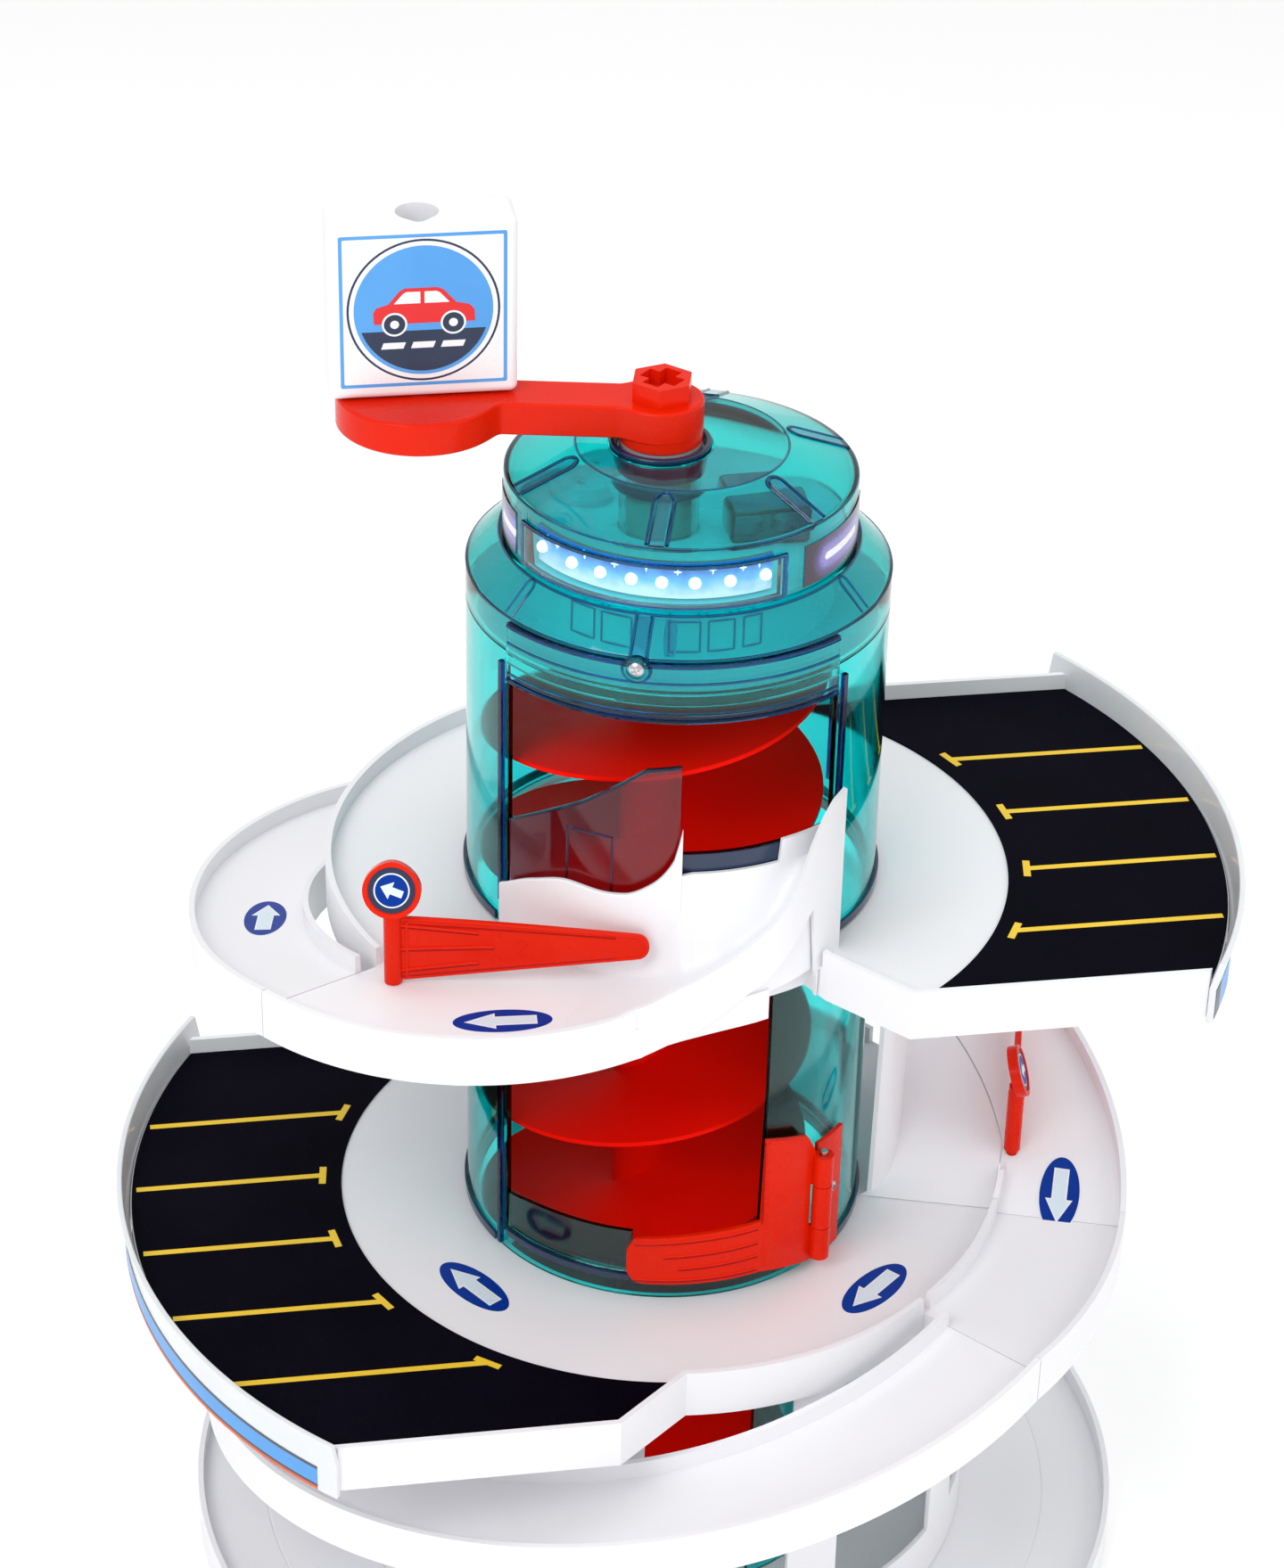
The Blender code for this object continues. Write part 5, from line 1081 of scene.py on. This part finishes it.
def arm_outline(grow=0.0):
    side = [((R_END + grow) * math.cos(math.radians(a)), (R_END + grow) * math.sin(math.radians(a))) for a in range(180, 90, -4)]
    side += [(s, arm_half(s) + grow) for s in span(0.0, length, 80)]
    side += [(length + (R_HUB + grow) * math.cos(math.radians(a)), (R_HUB + grow) * math.sin(math.radians(a))) for a in range(84, 0, -6)]
    side += [(length + R_HUB + grow, 0.0)]
    both = side + [(s, -w) for s, w in side[-2:0:-1]]
    return [(CRANK_END[0] + along.x * s + across.x * w, CRANK_END[1] + along.y * s + across.y * w) for s, w in both]


arm_rows = []
for q in (0, 22.5, 45, 67.5, 90):
    arm_rows.append((-1.2 + 1.2 * math.cos(math.radians(q)) - 0.02, ARM_TOP - 1.2 + 1.2 * math.sin(math.radians(q))))
stations = [[(x, y, ARM_LOW) for x, y in arm_outline(-0.7)], [(x, y, ARM_LOW + 0.7) for x, y in arm_outline(-0.02)]]
stations += [[(x, y, z) for x, y in arm_outline(g)] for g, z in arm_rows]
crank = raw("crank_lever", sweep(bmesh.new(), stations))
boolean(crank, rod(bmesh.new(), (*SHAFT, 538.0), (*SHAFT, 550.0), R_HUB - 0.25, 96), "UNION")
boolean(crank, prism(bmesh.new(), circle(12.7, 6, SHAFT, 16.0), 553.0, 563.4), "UNION")
for number in (0, 1):
    boolean(crank, block(bmesh.new(), (*SHAFT, 561.5), (16.5 - 0.2 * number, 7.4, 8.0), 46.0 + 90.0 * number))
boolean(crank, rod(bmesh.new(), (*SHAFT, 530.0), (*SHAFT, 548.9), 8.9, 64))
boolean(crank, rod(bmesh.new(), (*CRANK_END, 530.0), (*CRANK_END, 560.0), 5.0, 48))
dress(crank, RED, "crank", slot="red_plastic", replaces=["crank_arm"], edge=0.45, segs=3, limit=50.0, sharp=40.0)

piece("grip_post", turned(bmesh.new(), [(0.0, 542.4), (4.7, 542.4), (4.7, 555.7), (6.0, 555.7), (6.0, 606.9), (7.6, 606.9), (7.6, 608.8), (6.8, 609.8), (0.0, 609.8)],
                          steps=64, centre=CRANK_END), WHITE, "crank", slot="white_plastic", replaces=["grip_pin"], edge=0.2)

GRIP, GRIP_LOW = (73.0, 23.0, 73.5), 556.2
GC = (CRANK_END[0] + 1.2, CRANK_END[1] + 2.0, GRIP_LOW + GRIP[2] / 2)
bm = block(bmesh.new(), GC, GRIP)
bmesh.ops.recalc_face_normals(bm, faces=bm.faces)
bmesh.ops.bevel(bm, geom=list(bm.edges), offset=3.2, segments=8, profile=0.5, affect="EDGES")
sign = raw("sign_block", bm)
boolean(sign, turned(bmesh.new(), [(0.0, 540.0), (6.3, 540.0), (6.3, 606.5), (8.4, 606.5), (8.4, 640.0), (0.0, 640.0)], steps=96, centre=CRANK_END))
dress(sign, WHITE, "grip", slot="white_plastic", replaces=["sign_grip"], edge=0.35, segs=3)

# The handle's print: a road to the horizon with a small car on it, in a ring.
FACE_Y = GC[1] - GRIP[1] / 2


def on_sign(outline, depth, thick=0.06):
    """A print on the sign's front. Points are (right, up) from its middle."""
    bm = bmesh.new()
    y0, y1 = FACE_Y + 0.02 - depth, FACE_Y - depth - thick
    return sweep(bm, [[(GC[0] + x, y0, GC[2] + z) for x, z in outline], [(GC[0] + x, y1, GC[2] + z) for x, z in outline]])


def rounded(w, h, r, at=(0.0, 0.0), n=6):
    pts = []
    for cx, cz, q in ((w / 2 - r, h / 2 - r, 0), (-w / 2 + r, h / 2 - r, 90), (-w / 2 + r, -h / 2 + r, 180), (w / 2 - r, -h / 2 + r, 270)):
        pts += [(at[0] + cx + r * math.cos(math.radians(q + 90 * k / n)), at[1] + cz + r * math.sin(math.radians(q + 90 * k / n))) for k in range(n + 1)]
    return pts


piece("sign_frame", on_sign(rounded(64.4, 63.0, 0.8), 0.0), SKY, "grip", slot="navy_plastic")
piece("sign_sheet", on_sign(rounded(61.6, 60.2, 0.6), 0.02), PAPER, "grip", slot="white_plastic")
piece("sign_disc_rim", on_sign(circle(29.5, 72), 0.04), INK, "grip", slot="navy_plastic")
piece("sign_disc_white", on_sign(circle(28.6, 72), 0.08), PAPER, "grip", slot="white_plastic")
piece("sign_disc_blue", on_sign(circle(26.8, 72), 0.12), SKY, "grip", slot="navy_plastic")
half = [(25.3 * math.cos(math.radians(q)), 25.3 * math.sin(math.radians(q))) for q in span(199, 341, 36)]
piece("sign_road", on_sign(half, 0.16), INK, "grip", slot="navy_plastic")
dashes = bmesh.new()
for x0 in (-16.5, -5.0, 6.5):
    y0, y1 = FACE_Y + 0.02 - 0.20, FACE_Y - 0.26
    outline = [(x0, -15.6), (x0 + 8.6, -15.6), (x0 + 9.6, -13.0), (x0 + 1.0, -13.0)]
    sweep(dashes, [[(GC[0] + x, y0, GC[2] + z) for x, z in outline], [(GC[0] + x, y1, GC[2] + z) for x, z in outline]])
piece("sign_road_dashes", dashes, PAPER, "grip", slot="white_plastic")
body_line = ([(-19.0, -5.2), (-19.4, -0.6), (-18.2, 1.6), (-13.6, 2.9), (-9.2, 8.2), (-7.2, 9.4), (5.4, 9.4), (7.6, 8.5), (12.6, 2.9), (17.6, 1.8), (19.6, -0.4), (19.8, -5.2)])
piece("sign_car", on_sign(list(reversed(body_line)), 0.20), PRINT_RED, "grip", slot="red_plastic")
glass = bmesh.new()
for outline in ([(-11.4, 3.1), (-7.9, 7.1), (-6.6, 7.9), (-1.2, 7.9), (-1.2, 3.1)], [(0.4, 3.1), (0.4, 7.9), (5.0, 7.9), (6.4, 7.2), (10.0, 3.1)]):
    y0, y1 = FACE_Y + 0.02 - 0.26, FACE_Y - 0.32
    sweep(glass, [[(GC[0] + x, y0, GC[2] + z) for x, z in outline], [(GC[0] + x, y1, GC[2] + z) for x, z in outline]])
piece("sign_car_glass", glass, PAPER, "grip", slot="white_plastic")
for n, (r, mat, depth) in enumerate(((4.9, PAPER, 0.26), (4.1, INK, 0.30), (1.7, PAPER, 0.34))):
    wheels = bmesh.new()
    for x in (-11.2, 11.4):
        outline = circle(r, 40, (x, -5.4))
        sweep(wheels, [[(GC[0] + p, FACE_Y + 0.02 - depth, GC[2] + z) for p, z in outline], [(GC[0] + p, FACE_Y - depth - 0.06, GC[2] + z) for p, z in outline]])
    piece(f"sign_wheels_{n}", wheels, mat, "grip", slot="white_plastic" if mat is PAPER else "navy_plastic")


# ------------------------------------------------------------------ lane gates
def lane_gate(name, body, axis, heading, z, tip_low, tip_high, reach, foot, node):
    post = turned(bmesh.new(), [(0.0, z - 4.0), (2.2, z - 4.0), (2.2, z + foot), (3.6, z + foot), (3.6, z + 32.4), (3.0, z + 33.0), (0.0, z + 33.0)], steps=48, centre=axis)
    made = raw(name, post)
    c, s = math.cos(math.radians(heading)), math.sin(math.radians(heading))

    def low(t):
        return z + 1.0 + (tip_low - 1.0) * t / reach

    def high(t):
        return z + 31.0 + (tip_high - 31.0) * (t / reach) ** 1.4

    def at(t, w, h):
        return (axis[0] + c * t - s * w, axis[1] + s * t + c * w, h)

    outline = [(t, low(t)) for t in span(1.0, reach - 4.6, 36)]
    a, b = low(reach - 4.6), high(reach - 4.6)
    outline += [(reach - 4.6 + 4.6 * math.cos(math.radians(q)), (a + b) / 2 + (b - a) / 2 * math.sin(math.radians(q))) for q in range(-80, 81, 10)]
    outline += [(t, high(t)) for t in span(reach - 4.6, 1.0, 36)]
    boolean(made, sweep(bmesh.new(), [[at(t, w, h) for t, h in outline] for w in (-0.7, 0.7)]), "UNION")
    # Frame along the edge and the ribs of the inner third, on both faces.
    ribs = bmesh.new()
    for side in (-1, 1):
        pipe(ribs, [at(t, 0.55 * side, h) for t, h in ([(t, low(t) + 0.75) for t in span(2.0, reach - 5.5, 30)]
                                                     + [(reach - 5.5 + 4.6 * math.cos(math.radians(q)), (a + b) / 2 + ((b - a) / 2 - 0.75) * math.sin(math.radians(q))) for q in range(-70, 71, 14)]
                                                     + [(t, high(t) - 0.75) for t in span(reach - 5.5, 2.0, 30)])], 0.75, 8)
        for f0, f1, l0, l1 in ((0.16, 0.22, 3.0, 34.0), (0.50, 0.52, 3.0, 40.0), (0.88, 0.80, 3.0, 34.0)):
            pipe(ribs, [at(t, 0.60 * side, low(t) + (high(t) - low(t)) * (f0 + (f1 - f0) * (t - l0) / (l1 - l0))) for t in span(l0, l1, 10)], 0.8, 8)
        pipe(ribs, [at(5.6, 0.55 * side, h) for h in span(low(5.6) + 1.5, high(5.6) - 1.5, 4)], 0.7, 8)
        for f, t in ((0.26, 41.0), (0.74, 41.0)):
            h = low(t) + (high(t) - low(t)) * f
            pipe(ribs, [at(t + 1.9 * math.cos(math.radians(q)), 0.6 * side, h + 1.9 * math.sin(math.radians(q))) for q in range(0, 360, 20)], 0.28, 6, closed=True)
    dress(made, RED, body, slot="red_plastic", replaces=[node], edge=0.3, segs=2)
    piece(name + "_ribs", ribs, RED, body, slot="red_plastic")
    # Painted shade: a thin dark red line under each rib and along the arm's top and bottom edges.
    shade = bmesh.new()
    for side in (-1, 1):
        for f0, f1, l0, l1 in ((0.16, 0.22, 3.0, 34.0), (0.50, 0.52, 3.0, 40.0), (0.88, 0.80, 3.0, 34.0), (0.93, 0.90, 3.0, 88.0), (0.05, 0.09, 3.0, 88.0)):
            pipe(shade, [at(t, 0.62 * side, low(t) - 1.15 + (high(t) - low(t)) * (f0 + (f1 - f0) * (t - l0) / (l1 - l0)) + (1.15 if f0 < 0.1 else 0.0)) for t in span(l0, l1, 16)], 0.42, 6)
    piece(name + "_rib_shade", shade, RED_PAINTED_SHADE, body, slot="red_plastic")
    figure = bmesh.new()
    mark = "2" if name.endswith("2") else "1"
    strokes = {"2": [(-2.0, 2.2), (-1.0, 3.4), (0.6, 3.5), (1.9, 2.4), (1.8, 0.9), (-2.1, -3.4), (2.3, -3.4)], "1": [(-1.4, 2.2), (0.4, 3.5), (0.4, -3.5)]}[mark]
    t0, h0 = 51.0, low(51.0) + (high(51.0) - low(51.0)) * 0.5
    for side in (-1, 1):
        pipe(figure, [at(t0 + p * (1 if side < 0 else -1), 0.66 * side, h0 + q) for p, q in strokes], 0.3, 6)
    piece(name + "_figure", figure, RED, body, slot="red_plastic")
    # Tilted round sign in a pear-shaped rim.
    tilt = math.radians(18)
    face = Vector((s, -c, 0.0)) * math.cos(tilt) + Vector((0, 0, 1)) * math.sin(tilt)
    right = Vector((c, s, 0.0))
    up = face.cross(right) * -1.0
    middle = Vector((axis[0], axis[1], z + 43.5))

    def layer(r, front, back_, drop=0.0, n=64):
        rows = []
        for k in range(n):
            q = math.radians(360.0 * k / n)
            x, y = math.cos(q) * r, math.sin(q) * r
            if drop and y < 0:
                x *= 1.0 - 0.16 * (y / r) ** 2
            rows.append((x, y))
        bm = bmesh.new()
        return sweep(bm, [[middle + right * x + up * y + face * back_ for x, y in rows], [middle + right * x + up * y + face * front for x, y in rows]])

    rim = raw(name + "_rim", layer(11.55, 2.3, -2.3, 1.0))
    boolean(rim, layer(9.6, 5.0, 1.7))
    boolean(rim, layer(9.6, -1.7, -5.0))
    boolean(rim, turned(bmesh.new(), [(0.0, z + 30.6), (3.4, z + 30.6), (3.4, z + 35.5), (0.0, z + 35.5)], steps=40, centre=axis), "UNION")
    dress(rim, RED, body, slot="red_plastic", edge=0.5, segs=3)
    for number, (r, mat, h) in enumerate(((9.3, INK, 1.72), (7.1, PAPER, 1.86), (6.5, BLUE, 1.96))):
        for side in (1, -1):
            piece(f"{name}_disc_{number}_{'front' if side > 0 else 'rear'}", layer(r, side * (h + 0.1), side * (h - 0.06)), mat, body, slot="navy_plastic")
    for side in (1, -1):
        rows = [(-4.6, -1.5), (0.2, -1.5), (0.2, -3.7), (4.7, 0.0), (0.2, 3.7), (0.2, 1.5), (-4.6, 1.5)]
        bm = bmesh.new()
        q = math.radians(200.0)
        rows = [(x * math.cos(q) - y * math.sin(q), x * math.sin(q) + y * math.cos(q)) for x, y in rows]
        sweep(bm, [[middle + right * x + up * y + face * (side * 2.0) for x, y in rows], [middle + right * x + up * y + face * (side * 2.14) for x, y in rows]])
        piece(f"{name}_arrow_{'front' if side > 0 else 'rear'}", bm, PALE, body, slot="white_plastic")


lane_gate("gate_arm_2", "gate_2", GATE_2, -10.0, Z2, 14.6, 25.0, 101.2, 0.4, "lane_gate_2")
lane_gate("gate_arm_1", "gate_1", GATE_1, 75.0, Z1 + 9.2, 29.5, 37.5, 99.5, 1.7, "lane_gate_1")

# ------------------------------------------------------------------ exit gate
HINGE = polar(92.0, -53.0)
LOW_ROWS = [(-109.0, 11.0), (-72.2, 11.0), (-56.0, 6.0)]
TOP_ROWS = [(-109.0, 34.0), (-90.0, 36.5), (-72.2, 37.5), (-71.6, 79.0), (-58.0, 73.0), (-54.4, 62.0)]
loops = []
for angle in span(-109.0, -72.2, 36) + span(-71.6, -54.4, 18):
    lo, hi = Z1 + table(LOW_ROWS, angle), Z1 + table(TOP_ROWS, angle)
    if angle < -105.0:
        q = (angle + 105.0) / 4.0
        m, h = (lo + hi) / 2, (hi - lo) / 2
        h *= math.sqrt(max(0.05, 1 - 0.75 * q * q))
        lo, hi = m - h, m + h
    loops.append([(*polar(87.9, angle), lo), (*polar(89.6, angle), lo), (*polar(89.6, angle), hi), (*polar(87.9, angle), hi)])
gate = raw("swing_gate", sweep(bmesh.new(), loops))
knuckles = bmesh.new()
rod(knuckles, (*HINGE, Z1 + 8), (*HINGE, Z1 + 24), 4.2, 48)
rod(knuckles, (*HINGE, Z1 + 46), (*HINGE, Z1 + 61), 4.2, 48)
boolean(gate, knuckles, "UNION")
boolean(gate, rod(bmesh.new(), (*HINGE, Z1 + 24.0), (*HINGE, Z1 + 46.0), 5.2, 48))
boolean(gate, rod(bmesh.new(), (*HINGE, Z1 - 5), (*HINGE, Z1 + 90), 1.9, 32))
dress(gate, RED, "exit", slot="red_plastic", replaces=["exit_gate"], edge=0.35, segs=3)
ribs = bmesh.new()
for f0, f1, a_end in ((0.10, 0.10, -107.5), (0.36, 0.34, -95.0), (0.62, 0.60, -99.0), (0.90, 0.90, -107.5)):
    rows = []
    for a in span(-73.0, a_end, 30):
        lo, hi = Z1 + table(LOW_ROWS, a), Z1 + table(TOP_ROWS, a)
        f = f0 + (f1 - f0) * (a + 73.0) / (a_end + 73.0)
        rows.append((*polar(89.45, a), lo + (hi - lo) * f))
    pipe(ribs, rows, 0.62, 8)
pipe(ribs, [(*polar(89.45, a), Z1 + table(TOP_ROWS, a) - 0.9) for a in span(-70.8, -55.6, 16)], 0.6, 8)
pipe(ribs, [(*polar(89.45, -70.9), z) for z in span(Z1 + 14, Z1 + 77, 8)], 0.6, 8)
piece("swing_gate_ribs", ribs, RED, "exit", slot="red_plastic")
# Painted shade: a thin dark red line under each rib and beside the upright rib.
shade = bmesh.new()
for f0, f1, a_end in ((0.10, 0.10, -107.0), (0.36, 0.34, -95.0), (0.62, 0.60, -99.0), (0.90, 0.90, -107.0)):
    rows = []
    for a in span(-73.0, a_end, 30):
        lo, hi = Z1 + table(LOW_ROWS, a), Z1 + table(TOP_ROWS, a)
        rows.append((*polar(89.5, a), lo - 1.1 + (hi - lo) * (f0 + (f1 - f0) * (a + 73.0) / (a_end + 73.0))))
    pipe(shade, rows, 0.42, 6)
pipe(shade, [(*polar(89.5, -71.9), z) for z in span(Z1 + 36, Z1 + 77, 8)], 0.42, 6)
piece("swing_gate_rib_shade", shade, RED_PAINTED_SHADE, "exit", slot="red_plastic")

holder = raw("gate_holder", turned(bmesh.new(), [(85.4, Z1 + 2), (87.2, Z1 + 2), (87.2, Z1 + 63), (85.4, Z1 + 63)], steps=16, start=-52.0, end=-40.0))
boolean(holder, block(bmesh.new(), (*polar(89.2, -51.0), Z1 + 35), (6.4, 3.4, 21.0), -51.0), "UNION")
boolean(holder, rod(bmesh.new(), (*HINGE, Z1 + 24.4), (*HINGE, Z1 + 45.6), 4.2, 48), "UNION")
boolean(holder, rod(bmesh.new(), (*HINGE, Z1 - 5), (*HINGE, Z1 + 90), 1.9, 32))
dress(holder, RED, "garage", slot="red_plastic", replaces=["exit_gate_bracket"], edge=0.4, segs=3)
pin = raw("gate_pin", rod(bmesh.new(), (*HINGE, Z1 + 6.5), (*HINGE, Z1 + 63), 1.6, 40))
dress(pin, STEEL, "garage", slot="steel", replaces=["exit_gate_pin"], edge=0.3)
screw = raw("holder_screw", turned(bmesh.new(), [(0.0, 0.0), (2.6, 0.0), (2.6, 0.6), (1.9, 1.3), (0.9, 1.6), (0.0, 1.65)], steps=40))
for turn in (10.0, 100.0):
    boolean(screw, block(bmesh.new(), (0.0, 0.0, 1.6), (3.0, 0.6, 1.4), turn))
screw.data.transform(Matrix.Translation(Vector((*polar(87.3, -45.0), Z1 + 35)) * MM) @ Matrix.Rotation(math.radians(-45.0), 4, "Z") @ Matrix.Rotation(math.pi / 2, 4, "Y"))
dress(screw, STEEL, "garage", slot="steel", replaces=["bracket_screw"])

# ------------------------------------------------------------------ kept nodes
sound_bm = block(bmesh.new(), (32.0, -12.0, 507.35), (32.0, 24.0, 15.1))
bmesh.ops.recalc_face_normals(sound_bm, faces=sound_bm.faces)
bmesh.ops.bevel(sound_bm, geom=list(sound_bm.edges), offset=2.6, segments=6, profile=0.5, affect="EDGES")
sound_box = raw("sound_box", sound_bm)
boolean(sound_box, block(bmesh.new(), (32.0, -12.0, 507.4), (28.6, 20.6, 11.8)))
dress(sound_box, BOX_TEAL, "garage", slot="teal_clear", replaces=["electronics_tray", "electronics_lid"])
for name, mat in (("pivot_post", GREY), ("button_cell_1", STEEL),
                  ("button_cell_2", STEEL), ("speaker", SOLID_TEAL_PAINTED_GLOW)):
    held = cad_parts[name]
    held.data.materials.clear()
    held.data.materials.append(mat)

# ------------------------------------------------------------------ stage
def floor_material():
    m, nt, p = start("pale_floor")
    at = coords(nt)
    nt.links.new(blend_colour(nt, noise(nt, at, 3.0, 3.0), (0.93, 0.93, 0.93), (0.95, 0.95, 0.95)), p.inputs["Base Color"])
    nt.links.new(spread(nt, noise(nt, at, 25.0, 3.0), 0.45, 0.55), p.inputs["Roughness"])
    p.inputs["Specular IOR Level"].default_value = 0.1
    p.inputs["Emission Color"].default_value = (1.0, 1.0, 1.0, 1.0)
    p.inputs["Emission Strength"].default_value = 0.14
    return m


bm = bmesh.new()
bmesh.ops.create_grid(bm, x_segments=2, y_segments=2, size=6000.0)
floor = raw("floor", bm)
floor.location.z = -0.0004
floor.data.materials.append(floor_material())

world = bpy.data.worlds.new("studio")
bpy.context.scene.world = world
world.use_nodes = True
back = world.node_tree.nodes["Background"]
back.inputs["Color"].default_value = (1.0, 1.0, 1.0, 1.0)
back.inputs["Strength"].default_value = 0.72


def area(name, at, to, size, watts, colour=(1.0, 1.0, 1.0), glare=False):
    light = bpy.data.lights.new(name, "AREA")
    light.shape, light.size, light.size_y = "RECTANGLE", size[0], size[1]
    light.energy, light.color = watts, colour
    made = bpy.data.objects.new(name, light)
    bpy.context.scene.collection.objects.link(made)
    made.location = at
    made.rotation_euler = (Vector(to) - Vector(at)).to_track_quat("-Z", "Y").to_euler()
    made.visible_glossy = glare


area("key", (-1.4, -1.5, 2.2), (0, 0, 0.3), (1.4, 1.2), 22.5, glare=True)
area("fill", (1.9, -1.2, 1.4), (0, 0, 0.3), (1.5, 1.5), 9.0)
area("top", (0.0, 0.6, 2.6), (0, 0, 0.3), (2.0, 1.6), 13.0)
area("front", (-0.5, -2.4, 0.7), (0, 0, 0.35), (1.2, 0.8), 5.0)

camera = bpy.data.cameras.new("camera")
camera.sensor_width, camera.lens = 36.0, 90.115
camera.clip_start, camera.clip_end = 0.01, 60.0
eye = bpy.data.objects.new("camera", camera)
bpy.context.scene.collection.objects.link(eye)
az, el, roll = math.radians(-9.687), math.radians(31.473), math.radians(1.34)
to_back = Vector((math.sin(az) * math.cos(el), -math.cos(az) * math.cos(el), math.sin(el)))
x = Vector((0, 0, 1)).cross(to_back).normalized()
y = to_back.cross(x)
right, up = x * math.cos(roll) + y * math.sin(roll), -x * math.sin(roll) + y * math.cos(roll)
place = Vector((-0.012833, 0.0, 0.379005)) + to_back * 1.6158
eye.matrix_world = Matrix(((right.x, up.x, to_back.x, place.x), (right.y, up.y, to_back.y, place.y), (right.z, up.z, to_back.z, place.z), (0, 0, 0, 1)))
bpy.context.scene.camera = eye
bpy.context.scene.view_settings.view_transform = "Standard"
